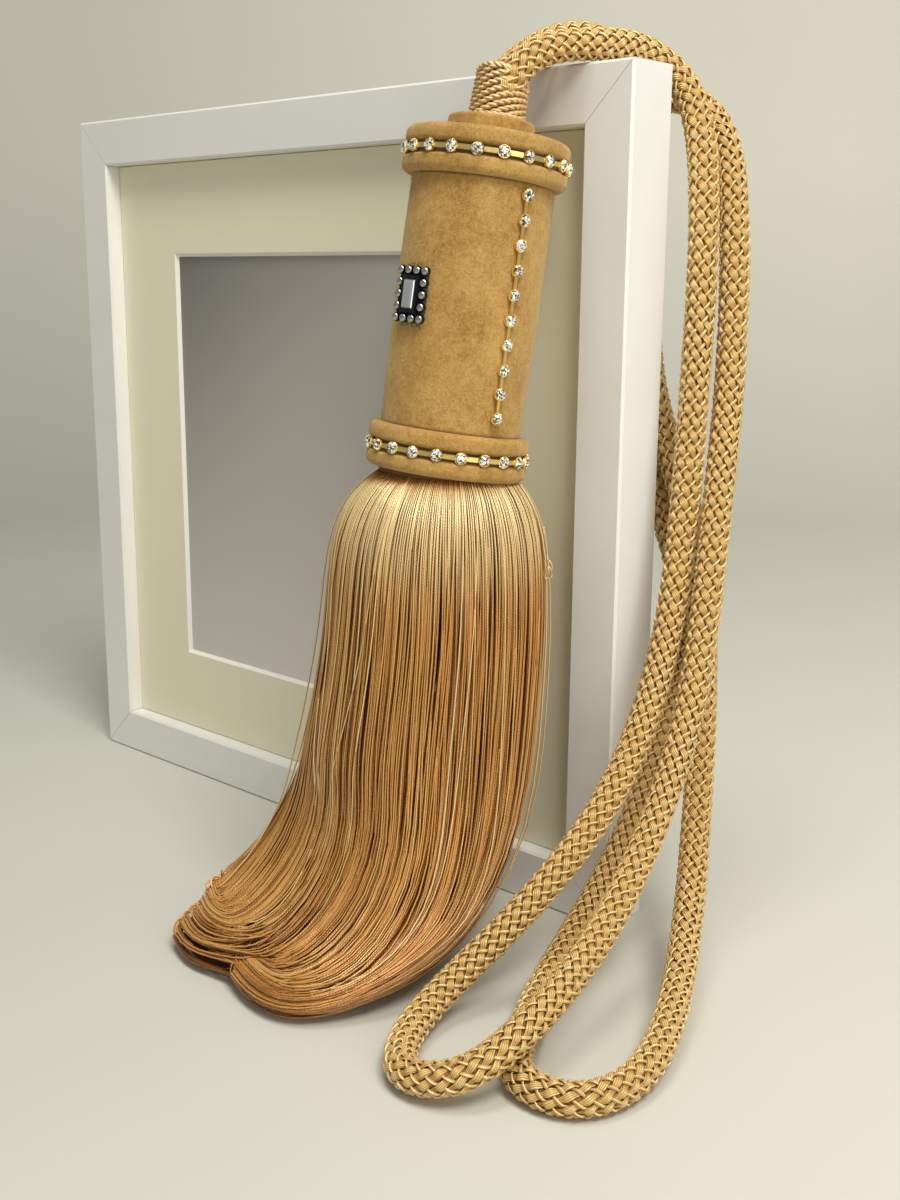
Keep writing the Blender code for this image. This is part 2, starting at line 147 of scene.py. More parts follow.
def piece(name, points, faces, finish, slot, attributes=None, smooth=True, sharpAngle=None, perFace=None):
    mesh = bpy.data.meshes.new(name)
    mesh.from_pydata(np.asarray(points, float).reshape(-1, 3).tolist(), [], faces)
    mesh.update()
    for domain, kept in (("POINT", attributes), ("FACE", perFace)):
        for key, values in (kept or {}).items():
            layer = mesh.attributes.new(key, "FLOAT", domain)
            layer.data.foreach_set("value", np.asarray(values, np.float32).ravel())
    if smooth:
        mesh.shade_smooth()
    if sharpAngle:
        mesh.set_sharp_from_angle(angle=math.radians(sharpAngle))
    mesh.materials.append(finish)
    made = bpy.data.objects.new(name, mesh)
    bpy.context.scene.collection.objects.link(made)
    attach(made, "root")
    return made


def gridFaces(strands, samples, sides, closed=False):
    # quads of many tubes whose points are stored strand by strand, sample by sample
    rings = samples if closed else samples - 1
    strand, ring, side = np.meshgrid(np.arange(strands), np.arange(rings), np.arange(sides), indexing="ij")
    start = strand * samples * sides
    here = start + ring * sides
    ahead = start + (ring + 1) % samples * sides
    after = (side + 1) % sides
    quads = np.stack([here + side, here + after, ahead + after, ahead + side], axis=-1).reshape(-1, 4)
    faces = quads.tolist()
    if not closed:
        for k in range(strands):
            first = k * samples * sides
            last = first + (samples - 1) * sides
            faces.append(list(range(first + sides - 1, first - 1, -1)))
            faces.append(list(range(last, last + sides)))
    return faces


def unit(vectors):
    return vectors / np.maximum(np.linalg.norm(vectors, axis=-1, keepdims=True), 1e-12)


def sectionFrames(paths, reference):
    # side and rise directions across each path
    along = unit(np.gradient(paths, axis=-2))
    side = unit(reference - along * np.sum(reference * along, axis=-1, keepdims=True))
    return side, np.cross(along, side)


def sweep(paths, side, rise, outline, halfWide, halfHigh):
    # points (strand, sample, section, 3) of an outline carried along paths
    wide = outline[:, 0][None, None, :, None] * np.asarray(halfWide)[..., None, None]
    high = outline[:, 1][None, None, :, None] * np.asarray(halfHigh)[..., None, None]
    return paths[:, :, None, :] + side[:, :, None, :] * wide + rise[:, :, None, :] * high


def smooth(low, high, value):
    share = np.clip((value - low) / (high - low), 0, 1)
    return share * share * (3 - 2 * share)


def roundOutline(sides):
    turn = np.arange(sides) * math.tau / sides
    return np.stack([np.cos(turn), np.sin(turn)], axis=-1)


def carried(points, place):
    # points brought to a 4x4 place
    grid = np.array(place)
    return np.asarray(points, float) @ grid[:3, :3].T + grid[:3, 3]


def repeated(points, faces, places):
    # one joined mesh of the same shape at many 4x4 places
    allFaces = [[index + k * len(points) for index in face] for k in range(len(places)) for face in faces]
    return np.concatenate([carried(points, place) for place in places]), allFaces


def lathe(profile, segments):
    # profile of (radius, height), bottom to top, turned about Z
    turned = roundOutline(segments)
    rings = [np.column_stack([radius * turned, np.full(segments, height)]) for radius, height in profile]
    return np.concatenate(rings), gridFaces(1, len(profile), segments)


def travelAlong(paths):
    # how far along each path each of its points lies
    steps = np.linalg.norm(np.diff(paths, axis=1), axis=2)
    return np.concatenate([np.zeros((len(paths), 1)), np.cumsum(steps, axis=1)], axis=1)


# camera, lights and floor

view = {
    "place": (0.4149, -0.3818, 0.2213),
    "turn": 42.419, "dip": 77.141, "roll": 0.405,   # degrees
    "lens": 42.086,
    # painted shade and light: the floor is darker to the left and paler to the right, and the wall is paler
    # as it rises
    "floorShadedColour": (0.53, 0.53, 0.475), "floorLitColour": (0.97, 0.95, 0.84), "floorMottle": 0.06,
    "floorLeft": -0.30, "floorRight": 0.50,   # metres, where the floor is darkest and where it is palest
    "acrossShare": 0.50,   # of the change from dark to pale, how much is across the floor, not up the wall
    "floorHalf": 4.0, "floorFront": -3.0, "wall": 1.1, "wallHigh": 3.0, "bend": 0.35, "bendSteps": 8,
    "worldColour": (1.0, 0.985, 0.94), "worldStrength": 0.31,
    "key": {"place": (0.82, -0.36, 1.15), "size": 0.45, "power": 11.2, "colour": (1.0, 0.975, 0.90)},
    "top": {"place": (0.25, -0.32, 1.35), "size": 0.40, "power": 5.0, "colour": (1.0, 0.985, 0.93)},
    "low": {"place": (1.20, -0.42, 0.42), "size": 0.60, "power": 2.8, "colour": (1.0, 0.98, 0.92)},
    "aim": (0.10, -0.05, 0.14),
}


def makeCamera():
    camera = bpy.data.objects.new("camera", bpy.data.cameras.new("camera"))
    bpy.context.scene.collection.objects.link(camera)
    camera.data.lens = view["lens"]
    camera.data.clip_start = 0.01
    turned = Matrix.Rotation(math.radians(view["turn"]), 4, "Z")
    turned = turned @ Matrix.Rotation(math.radians(view["dip"]), 4, "X")
    turned = turned @ Matrix.Rotation(math.radians(view["roll"]), 4, "Z")
    camera.matrix_world = Matrix.Translation(view["place"]) @ turned
    bpy.context.scene.camera = camera


def makeLight(name):
    values = view[name]
    lamp = bpy.data.lights.new(name, "AREA")
    lamp.size = values["size"]
    lamp.energy = values["power"]
    lamp.color = values["colour"]
    holder = bpy.data.objects.new(name, lamp)
    bpy.context.scene.collection.objects.link(holder)
    holder.location = values["place"]
    towards = Vector(view["aim"]) - Vector(values["place"])
    holder.rotation_euler = towards.to_track_quat("-Z", "Y").to_euler()


def makeStage():
    cloth = Finish("paleFloor", Roughness=0.9)
    # painted shade: the tone attribute darkens the floor and wall to the left and low down, with a little
    # mottling
    shade = cloth.attribute("tone") + (cloth.noise(9.0, 2.0) - 0.5) * view["floorMottle"]
    cloth.wear("Base_Color", cloth.mix(shade, view["floorShadedColour"], view["floorLitColour"]))
    bend = view["bend"]
    foot = view["wall"] - bend
    profile = [(view["floorFront"], 0.0), (foot, 0.0)]
    for step in range(1, view["bendSteps"] + 1):
        angle = math.pi / 2 * step / view["bendSteps"]
        profile.append((foot + bend * math.sin(angle), bend - bend * math.cos(angle)))
    profile.append((view["wall"], view["wallHigh"]))
    turn = Matrix.Rotation(math.radians(view["turn"]), 3, "Z")
    half = view["floorHalf"]
    columns = ((-half, 0.0), (view["floorLeft"], 0.0), (view["floorRight"], 1.0), (half, 1.0))
    points = [turn @ Vector((x, y, z)) for y, z in profile for x, pale in columns]
    share = view["acrossShare"]
    # painted light and shade: tone 0 on the shaded left of the floor, 1 on the lit right of the wall
    tones = [pale * share + min(z / bend, 1.0) * (1 - share) for y, z in profile for x, pale in columns]
    wide = len(columns)
    corners = [row * wide + column for row in range(len(profile) - 1) for column in range(wide - 1)]
    faces = [[first, first + 1, first + wide + 1, first + wide] for first in corners]
    mesh = bpy.data.meshes.new("floor")
    mesh.from_pydata(points, [], faces)
    layer = mesh.attributes.new("tone", "FLOAT", "POINT")
    layer.data.foreach_set("value", tones)
    mesh.shade_smooth()
    mesh.materials.append(cloth.material)
    floor = bpy.data.objects.new("floor", mesh)
    bpy.context.scene.collection.objects.link(floor)


makeCamera()
for lampName in ("key", "top", "low"):
    makeLight(lampName)
makeStage()
world = bpy.data.worlds.new("studio")
bpy.context.scene.world = world
world.use_nodes = True
world.node_tree.nodes["Background"].inputs["Color"].default_value = (*view["worldColour"], 1.0)
world.node_tree.nodes["Background"].inputs["Strength"].default_value = view["worldStrength"]
bpy.context.scene.view_settings.view_transform = "Standard"
print("camera, lights and floor made")

# rope: eight flat ribbons one way, eight thin cords the other, woven over and under

rope = {
    "diameter": 10.0 * mm, "length": 1.655,
    # one cell of the weave is one ribbon over and one cord over, and the turns are shares of a round a cell
    "strands": 8, "cell": 4.35 * mm, "samplesPerCell": 8, "ribbonTurn": 0.114, "cordTurn": 0.136,
    "meanRadius": 4.10 * mm, "ribbonRise": 0.42 * mm, "cordRise": 0.56 * mm,
    "ribbonHalfWide": 1.18 * mm, "ribbonHalfThick": 0.43 * mm, "cordHalf": 0.44 * mm,
    "coreRadius": 3.58 * mm,
    "ribbonPale": (1.0, 0.73, 0.28), "ribbonDeep": (0.84, 0.47, 0.135),
    "cordPale": (1.0, 0.78, 0.35), "cordDeep": (0.93, 0.60, 0.21),
    # painted shade in the grooves between yarns: its colour, crease, and how far it darkens them
    "crease": (0.37, 0.155, 0.030), "creaseShadeDepth": 0.60, "ribbonYarns": 4.8, "cordYarns": 0.8,
    "yarnHigh": 0.22 * mm, "gloss": 0.10,
    # how steep the ends of each raised block are, and by how much a strand is down longer than up
    "ribbonBlock": (2.0, 0.25), "cordBlock": (2.4, 0.5),
    # wavelengths of the strands' drift, and how far it goes: out of the rope, and round it in radians
    "ribbonOut": ((13 * mm, 47 * mm), 0.06 * mm), "ribbonRound": ((31 * mm, 83 * mm), 0.05),
    "cordRound": ((37 * mm, 71 * mm), 0.03),
    "ribbonSpread": 0.12, "ribbonFlat": 0.85, "ribbonThicker": 0.6,   # shares of a half size, where it is up
    # painted light and shade: a strand's tone is raised where it is up and lowered where it dips under the
    # others
    "ribbonTones": (0.40, 0.75), "ribbonLiftShading": 0.35, "cordTones": (0.55, 1.0), "cordLiftShading": 0.25,
    "coreShadowColours": ((0.27, 0.125, 0.034), (0.38, 0.20, 0.068)), "coreSides": 10,
    "knotPower": 0.75, "bound": 0.24, "boundLength": 13 * mm,
    # six corners of a ribbon's section, in half widths and half thicknesses
    "ribbonSection": ((-1, -0.15), (-0.58, 0.80), (0, 1.0), (0.58, 0.80), (1, -0.15), (0, -0.9)),
    # the ends inside the winding at the neck
    "start": [(0.1176, -0.0362, 0.2705), (0.1186, -0.0356, 0.2762)],
    "end": [(0.1095, -0.0318, 0.2758), (0.1104, -0.0335, 0.2705)],
    "route": [
        (0.1202, -0.0334, 0.2808), (0.1230, -0.0260, 0.2888), (0.1325, -0.0050, 0.2938),
        (0.1380, 0.0120, 0.2930), (0.1465, 0.0210, 0.2840), (0.1560, 0.0195, 0.2640),
        (0.1645, 0.0080, 0.1780), (0.1675, -0.0050, 0.1120), (0.1685, -0.0370, 0.0610),
        (0.1585, -0.0750, 0.0260), (0.1515, -0.0980, 0.0096), (0.1560, -0.1160, 0.0056),
        (0.1695, -0.1295, 0.0058), (0.1855, -0.1255, 0.0100), (0.1920, -0.1080, 0.0174),
        (0.1875, -0.0650, 0.0305), (0.1810, -0.0130, 0.0840), (0.1764, 0.0055, 0.1400),
        (0.1705, 0.0200, 0.1900), (0.1635, 0.0280, 0.2480), (0.1530, 0.0335, 0.2710),
        (0.1370, 0.0345, 0.2810), (0.1195, 0.0300, 0.2760), (0.1120, 0.0220, 0.2380),
        (0.1420, 0.0195, 0.1550), (0.1550, 0.0230, 0.1080), (0.1575, -0.0120, 0.0350),
        (0.1690, -0.0700, 0.0064), (0.1820, -0.0955, 0.0055), (0.1930, -0.1088, 0.0054),
        (0.2095, -0.1085, 0.0053), (0.2175, -0.0940, 0.0056), (0.2055, -0.0500, 0.0130),
        (0.1785, 0.0000, 0.0480), (0.1590, 0.0185, 0.1420), (0.1410, 0.0185, 0.1880),
        (0.1300, 0.0212, 0.2750), (0.1242, 0.0090, 0.2962), (0.1153, -0.0140, 0.2932),
        (0.1098, -0.0288, 0.2804),
    ],
}


def splineThrough(route, knotPower, steps=40):
    # natural cubic curve through the route's points
    points = np.array(route)
    count = len(points)
    spans = np.linalg.norm(np.diff(points, axis=0), axis=1) ** knotPower
    grid = np.zeros((count, count))
    pull = np.zeros((count, 3))
    grid[0, 0] = grid[-1, -1] = 1.0
    for i in range(1, count - 1):
        grid[i, i - 1:i + 2] = spans[i - 1], 2 * (spans[i - 1] + spans[i]), spans[i]
        pull[i] = 6 * ((points[i + 1] - points[i]) / spans[i] - (points[i] - points[i - 1]) / spans[i - 1])
    bends = np.linalg.solve(grid, pull)
    curve = []
    for i, span in enumerate(spans):
        after = (np.arange(steps) / steps * span)[:, None]
        before = span - after
        value = bends[i] * before ** 3 / (6 * span) + bends[i + 1] * after ** 3 / (6 * span)
        value += (points[i] / span - bends[i] * span / 6) * before
        value += (points[i + 1] / span - bends[i + 1] * span / 6) * after
        curve.append(value)
    curve.append(points[-1:])
    return np.concatenate(curve)


def evenly(curve, step):
    # points at even steps along the curve, and how far along it each is
    travel = np.concatenate([[0.0], np.cumsum(np.linalg.norm(np.diff(curve, axis=0), axis=1))])
    wanted = np.linspace(0.0, travel[-1], int(round(travel[-1] / step)) + 1)
    return np.stack([np.interp(wanted, travel, curve[:, k]) for k in range(3)], axis=1), wanted


def carriedFrames(path):
    # directions across the path that never twist about it
    along = unit(np.gradient(path, axis=0))
    side = np.zeros_like(path)
    side[0] = unit(np.cross(along[0], (0.0, 0.0, 1.0)))
    for i in range(1, len(path)):
        side[i] = side[i - 1] - along[i] * np.dot(side[i - 1], along[i])
        side[i] /= np.linalg.norm(side[i])
    return side, np.cross(along, side)


def slowWander(count, waves, size, travel):
    # a small smooth drift along each strand
    drift = np.zeros((count, len(travel)))
    for wavelength in waves:
        phase = rng.uniform(0, math.tau, count)[:, None]
        drift += np.sin(travel[None, :] / wavelength * math.tau + phase)
    return drift * size / len(waves)


def ropeFinish(name, pale, deep, yarns):
    finish = Finish(name, Roughness=0.34, Specular_IOR_Level=0.8, IOR=1.55, Metallic=rope["gloss"])
    across = finish.attribute("across")
    along = finish.attribute("along")
    tone = finish.attribute("tone")
    fray = finish.noise(420.0, 2.0) * 2.0
    yarn = finish.wave(across * (math.pi * yarns) + fray + along * 60.0) * 0.5 + 0.5
    patch = finish.noise(160.0, 2.0) * 0.4 + tone * 0.6
    colour = finish.mix(patch, deep, pale)
    # painted shade: the grooves between the yarns are darkened towards the crease colour
    gap = (1 - yarn) ** 2.0
    finish.wear("Base_Color", finish.mix(gap * rope["creaseShadeDepth"], colour, rope["crease"]))
    finish.wear("Normal", finish.bump(yarn, rope["yarnHigh"]))
    return finish.material


def makeRope():
    curve = splineThrough(rope["start"] + rope["route"] + rope["end"], rope["knotPower"])
    path, travel = evenly(curve, rope["cell"] / rope["samplesPerCell"])
    side, rise = carriedFrames(path)
    strands = rope["strands"]
    order = np.arange(strands)[:, None] * math.tau / strands
    crossing = np.cos(travel[None, :] / rope["cell"] * math.tau) * np.ones((strands, 1))
    toEnd = np.clip(np.minimum(travel, travel[-1] - travel) / rope["boundLength"], 0, 1)
    bound = 1 - rope["bound"] * (1 - smooth(0, 1, toEnd))

    def wound(turns, radius, wander):
        turn = turns * travel[None, :] / rope["cell"] * math.tau + order + wander
        outward = side[None] * np.cos(turn)[..., None] + rise[None] * np.sin(turn)[..., None]
        return path[None] + outward * (radius * bound)[..., None], outward

    def braided(name, centres, outward, outline, halfWide, halfHigh, tone, finish):
        # every other strand goes into a second piece
        side = sectionFrames(centres, np.cross(outward, unit(np.gradient(centres, axis=1))))[0]
        points = sweep(centres, side, outward, outline, halfWide, halfHigh)
        values = {"across": outline[:, 0], "along": travel[None, :, None], "tone": np.clip(tone, 0, 1)}
        for part, letter in enumerate("AB"):
            some = points[part::2]
            kept = {key: np.broadcast_to(value, points.shape[:3])[part::2] for key, value in values.items()}
            piece(name + letter, some, gridFaces(len(some), len(path), len(outline)), finish,
                              "braided_rope", kept)

    def blocks(steep, low):
        # each strand is up for half of a cell, in a short block with steep ends
        return np.tanh(steep * crossing - low) / math.tanh(steep)

    lift = blocks(*rope["ribbonBlock"])
    radius = rope["meanRadius"] + rope["ribbonRise"] * lift
    radius = radius + slowWander(strands, *rope["ribbonOut"], travel)
    aside = slowWander(strands, *rope["ribbonRound"], travel)
    ribbons, outward = wound(-rope["ribbonTurn"], radius, aside)
    halfWide = rope["ribbonHalfWide"] * (1 + rope["ribbonSpread"] * lift)
    thicker = rope["ribbonThicker"] * np.maximum(crossing, 0)
    halfThick = rope["ribbonHalfThick"] * (rope["ribbonFlat"] + thicker)
    # painted shade: a ribbon is lighter where it is up and darker where it dips under a cord
    tone = rng.uniform(*rope["ribbonTones"], (strands, 1, 1)) + rope["ribbonLiftShading"] * lift[..., None]
    braided("ropeRibbons", ribbons, outward, np.array(rope["ribbonSection"]), halfWide, halfThick, tone,
            ropeFinish("ribbonGold", rope["ribbonPale"], rope["ribbonDeep"], rope["ribbonYarns"]))

    # cords are down where the ribbons are up
    lift = blocks(*rope["cordBlock"])
    radius = rope["meanRadius"] - rope["cordRise"] * lift
    aside = slowWander(strands, *rope["cordRound"], travel)
    cords, outward = wound(rope["cordTurn"], radius, aside)
    # painted shade: a cord is lighter where it is up and darker where it dips under a ribbon
    tone = rng.uniform(*rope["cordTones"], (strands, 1, 1)) - rope["cordLiftShading"] * lift[..., None]
    braided("ropeCords", cords, outward, roundOutline(4), rope["cordHalf"], rope["cordHalf"], tone,
            ropeFinish("cordGold", rope["cordPale"], rope["cordDeep"], rope["cordYarns"]))

    # painted shadow: the core under the braid is dark brown, for the shade in the gaps between the strands
    shade = Finish("ropeShadowCore", Roughness=0.9)
    shade.wear("Base_Color", shade.mix(shade.noise(600.0, 2.0), *rope["coreShadowColours"]))
    thin = slice(None, None, 4)
    girth = rope["coreRadius"] * bound[thin]
    sides = rope["coreSides"]
    core = sweep(path[None, thin], side[None, thin], rise[None, thin], roundOutline(sides), girth, girth)
    inner = piece("ropeShadowCore", core, gridFaces(1, len(girth), sides), shade.material, "braided_rope")
    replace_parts(inner, "rope")


makeRope()
print("rope braided")

# picture frame and mat

paint = {
    "colour": (0.86, 0.86, 0.83), "shade": (0.80, 0.80, 0.77), "roughness": 0.42,
    "matColour": (0.85, 0.82, 0.62), "bevelColour": (0.88, 0.87, 0.80),
    "grainDeep": 0.9, "cardDark": (0.09, 0.085, 0.08), "cardPale": (0.84, 0.81, 0.74),
    # the plain card goes from pale to dark to the left and upward
    "fadeFrom": 0.10, "fadeLeft": 2.2, "fadeUp": 3.2, "fadeMottle": 0.12, "fadeBack": 0.35,
    "windowHalfWide": 92.8 * mm, "windowLow": 54.0 * mm, "windowHigh": 231.5 * mm,
    "matThick": 1.4 * mm,
}


def makeFrame():
    white = Finish("whitePaint", Specular_IOR_Level=0.5, Coat_Weight=0.15, Coat_Roughness=0.3)
    streaks = white.noise(40.0, 4.0)
    white.wear("Base_Color", white.mix(streaks, paint["shade"], paint["colour"]))
    white.wear("Roughness", streaks * 0.2 + (paint["roughness"] - 0.1))
    white.wear("Normal", white.bump(white.noise(900.0), 0.05 * mm, 0.5))
    for name in ("frame_top", "frame_bottom", "frame_left", "frame_right"):
        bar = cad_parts[name].data
        bar.materials.clear()
        bar.materials.append(white.material)


def makeMat():
    low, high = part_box("mat_panel")
    front = low.y
    half = high.x
    window = paint["windowHalfWide"]
    bevel = paint["matThick"]

    def rectangle(halfWide, bottom, top, y):
        return [(-halfWide, y, bottom), (halfWide, y, bottom), (halfWide, y, top), (-halfWide, y, top)]

    loops = [
        rectangle(half, low.z, high.z, front + bevel),
        rectangle(half, low.z, high.z, front),
        rectangle(window, paint["windowLow"], paint["windowHigh"], front),
        rectangle(window - bevel, paint["windowLow"] + bevel, paint["windowHigh"] - bevel, front + bevel),
    ]
    card = Finish("matCard", Roughness=0.85)
    grain = card.noise(700.0)
    deeper = [channel * paint["grainDeep"] for channel in paint["matColour"]]
    card.wear("Base_Color", card.mix(grain * 0.25, paint["matColour"], deeper))
    card.wear("Normal", card.bump(grain, 0.04 * mm, 0.6))
    core = Finish("matCore", Base_Color=paint["bevelColour"], Roughness=0.8)
    mat = piece("matBoard", loops, gridFaces(1, 4, 4, closed=True), card.material, "mat_board", smooth=False)
    mat.data.materials.append(core.material)
    for face in mat.data.polygons[8:12]:
        face.material_index = 1
    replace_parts(mat, "mat_panel")

    backing = Finish("plainCard", Roughness=0.35)
    place = backing.place()
    across = backing.node("ShaderNodeSeparateXYZ", None, {0: place}, output=0)
    tall = backing.node("ShaderNodeSeparateXYZ", None, {0: place}, output=2)
    fade = (paint["fadeFrom"] - across) * paint["fadeLeft"] + tall * paint["fadeUp"]
    fade = fade + backing.noise(4.0, 2.0) * paint["fadeMottle"] - paint["fadeBack"]
    backing.wear("Base_Color", backing.mix(fade, paint["cardPale"], paint["cardDark"]))
    board = [rectangle(half, low.z, high.z, y) for y in (front + bevel + 0.05 * mm, high.y)]
    piece("matBacking", board, gridFaces(1, 2, 4), backing.material, "mat_board", smooth=False)


makeFrame()
makeMat()
print("picture frame finished")

# tassel head, in a frame of its own along the tilted axis


def nodeMiddle(name):
    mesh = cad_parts[name].data
    points = np.zeros(len(mesh.vertices) * 3, np.float32)
    mesh.vertices.foreach_get("co", points)
    return Vector(points.reshape(-1, 3).mean(axis=0))


lowerMiddle = nodeMiddle("collar_lower")
upperMiddle = nodeMiddle("collar_upper")
headAxis = (upperMiddle - lowerMiddle).normalized()
headSpan = (upperMiddle - lowerMiddle).length
upward = Vector((0, 0, 1))
headPlace = Matrix.Translation(lowerMiddle) @ upward.rotation_difference(headAxis).to_matrix().to_4x4()

head = {
    "segments": 160,
    "collarRadius": 25.9 * mm, "collarHalf": 7.0 * mm, "collarRound": 2.3 * mm,
    "grooveHalf": 2.0 * mm, "grooveDepth": 1.7 * mm, "grooveLip": 0.9 * mm,
    "barrelRadius": 22.7 * mm, "waist": 0.25 * mm, "barrelRings": 160,
    "capRadius": 13.6 * mm, "capHigh": 5.2 * mm, "capRound": 1.1 * mm,
    "seamAzimuth": -17.5, "seamHigh": 0.30 * mm, "seamHalf": 1.6,   # degrees round the barrel
    "lump": 0.10 * mm,
    "flockDeep": (0.31, 0.150, 0.034), "flockMid": (0.44, 0.245, 0.066), "flockPale": (0.53, 0.325, 0.100),
    "flockSpeck": (0.68, 0.46, 0.18), "grooveShade": (0.10, 0.055, 0.016), "creaseHigh": 0.55 * mm,
    "pileHigh": 0.35 * mm, "sheenTint": (1.0, 0.78, 0.42),
    "hairs": 9000, "hairLength": 0.55 * mm, "hairHalf": 0.05 * mm, "hairRoot": 0.15 * mm, "hairLean": 0.55,
    # bare of hairs at the edges and in the grooves
    "hairEdge": 0.6 * mm, "hairFoot": 1.0 * mm, "hairGroove": 2.8 * mm,
}


def flockFinish():
    flock = Finish("flockedCloth", Roughness=0.9, Specular_IOR_Level=0.12, Sheen_Weight=0.6,
                   Sheen_Roughness=0.45, Sheen_Tint=head["sheenTint"])
    broad = flock.noise(70.0, 3.0, 0.6)
    patch = flock.noise(420.0, 3.0, 0.6)
    fine = flock.noise(1300.0, 3.0, 0.7)
    pile = flock.noise(3600.0, 2.0, 0.8)
    base = flock.ramp(broad * 0.6 + patch * 0.4, [
        (0.36, head["flockDeep"]), (0.50, head["flockMid"]), (0.63, head["flockPale"])])
    grain = (fine - 0.5) * 2.6 + (pile - 0.5) * 2.2
    cloth = flock.mix(grain * 0.5 + 0.12, base, head["flockSpeck"])
    cloth = flock.mix(0.05 - grain * 0.55, cloth, head["flockDeep"])
    flock.wear("Base_Color", flock.mix(flock.attribute("shade") * 0.85, cloth, head["grooveShade"]))
    flock.wear("Normal", flock.bump(fine * 0.7 + pile * 0.5, head["pileHigh"]))
    return flock.material


def softLumps(points, size):
    # slow unevenness of glued cloth
    x, y, z = (points / mm).T
    wave = np.sin(x * 0.31 + z * 0.17 + 1.3) + np.sin(y * 0.27 - z * 0.23) + np.sin(z * 0.41 + x * 0.12 + 0.6)
    return wave * size / 3


def headPiece(name, profile, finish, shape=None, groove=None, creases=()):
    points, faces = lathe(profile, head["segments"])
    outward = unit(points * (1, 1, 0))
    shade = np.zeros(len(points))
    if groove is not None:
        inside = np.linalg.norm(points[:, :2], axis=1) < head["collarRadius"] - head["grooveDepth"] * 0.55
        shade[inside & (np.abs(points[:, 2] - groove) < head["grooveHalf"] * 1.3)] = 1.0
    for crease in creases:
        shade = np.maximum(shade, 1 - smooth(0.3, 1.6, np.abs(points[:, 2] - crease) / head["creaseHigh"]))
    points = points + outward * softLumps(points, head["lump"])[:, None]
    if shape:
        points = shape(points, outward)
    points = carried(points, headPlace)
    return piece(name, points, faces, finish, "flocked_cloth", {"shade": shade}, sharpAngle=60)


def cornerArc(radius, height, rounding, start, turn, steps=6):
    # round corner points, as (radius, height)
    arc = []
    for step in range(steps + 1):
        angle = math.radians(start + turn * step / steps)
        arc.append((radius + rounding * math.cos(angle), height + rounding * math.sin(angle)))
    return arc


def collarProfile(middle):
    radius = head["collarRadius"]
    half = head["collarHalf"]
    rounding = head["collarRound"]
    groove = head["grooveHalf"]
    depth = head["grooveDepth"]
    lip = head["grooveLip"]
    profile = [(head["barrelRadius"] - 4 * mm, middle - half)]
    profile += cornerArc(radius - rounding, middle - half + rounding, rounding, -90, 90)
    profile += cornerArc(radius - lip, middle - groove - lip, lip, 0, 90, 4)
    profile += [(radius - depth, middle - groove * 0.7), (radius - depth, middle + groove * 0.7)]
    profile += cornerArc(radius - lip, middle + groove + lip, lip, -90, 90, 4)
    profile += cornerArc(radius - rounding, middle + half - rounding, rounding, 0, 90)
    profile.append((head["capRadius"] - 4 * mm, middle + half))
    return profile


def barrelSeam(points, outward):
    # a low ridge down the barrel, where the cloth's ends meet
    azimuth = np.degrees(np.arctan2(outward[:, 1], outward[:, 0]))
    rise = np.exp(-((azimuth - head["seamAzimuth"]) / head["seamHalf"]) ** 2)
    return points + outward * (rise * head["seamHigh"])[:, None]


def makeFuzz(finish):
    # short raised fibres, each a closed spike, over the barrel and collars
    count = head["hairs"]
    edge = head["hairEdge"]
    turn = rng.uniform(0, math.tau, count)
    low = -head["collarHalf"] + head["hairFoot"]
    height = rng.uniform(low, headSpan + head["collarHalf"] - edge, count)
    fromCollar = np.minimum(np.abs(height), np.abs(height - headSpan))
    keep = fromCollar >= head["hairGroove"]
    turn, height, fromCollar = turn[keep], height[keep], fromCollar[keep]
    onCollar = fromCollar < head["collarHalf"] - edge
    radius = np.where(onCollar, head["collarRadius"], head["barrelRadius"]) - head["hairRoot"]
    outward = np.column_stack([np.cos(turn), np.sin(turn), np.zeros(len(turn))])
    root = outward * radius[:, None] + height[:, None] * np.array(upward)
    lean = unit(outward + rng.normal(0, head["hairLean"], outward.shape))
    length = rng.uniform(0.5, 1.2, len(turn)) * head["hairLength"]
    tip = root + lean * (length + 0.12 * mm)[:, None]
    side = unit(np.cross(lean, (0.3, 0.2, 1.0)))
    other = np.cross(lean, side)
    half = head["hairHalf"]
    corners = [root + (side * x + other * y) * half for x, y in ((1, 0), (-0.5, 0.87), (-0.5, -0.87))]
    points = np.stack([*corners, tip], axis=1).reshape(-1, 3)
    spike = np.array([(0, 2, 1), (0, 1, 3), (1, 2, 3), (2, 0, 3)])
    faces = (np.arange(len(turn))[:, None, None] * 4 + spike).reshape(-1, 3).tolist()
    shade = {"shade": np.zeros(len(points))}
    piece("flockFibres", carried(points, headPlace), faces, finish, "flocked_cloth", shade)


def makeHead():
    flock = flockFinish()
    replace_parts(headPiece("collarLower", collarProfile(0.0), flock, groove=0.0), "collar_lower")
    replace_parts(headPiece("collarUpper", collarProfile(headSpan), flock, groove=headSpan), "collar_upper")
    radius = head["barrelRadius"]
    creases = (head["collarHalf"], headSpan - head["collarHalf"])
    heights = np.linspace(creases[0] - 1 * mm, creases[1] + 1 * mm, head["barrelRings"])
    waist = [(radius + head["waist"] * math.cos((h / headSpan - 0.5) * math.tau), h) for h in heights]
    barrel = headPiece("headBarrel", waist, flock, barrelSeam, creases=creases)
    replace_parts(barrel, "head_barrel")
    seat = headSpan + head["collarHalf"]
    rounding = head["capRound"]
    top = seat + head["capHigh"]
    cap = [(head["capRadius"], seat - 0.5 * mm)]
    cap += cornerArc(head["capRadius"] - rounding, top - rounding, rounding, 0, 90)
    cap.append((3 * mm, top))
    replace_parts(headPiece("headCap", cap, flock), "head_cap")
    makeFuzz(flock)


makeHead()
print("tassel head covered")

# crystal chains

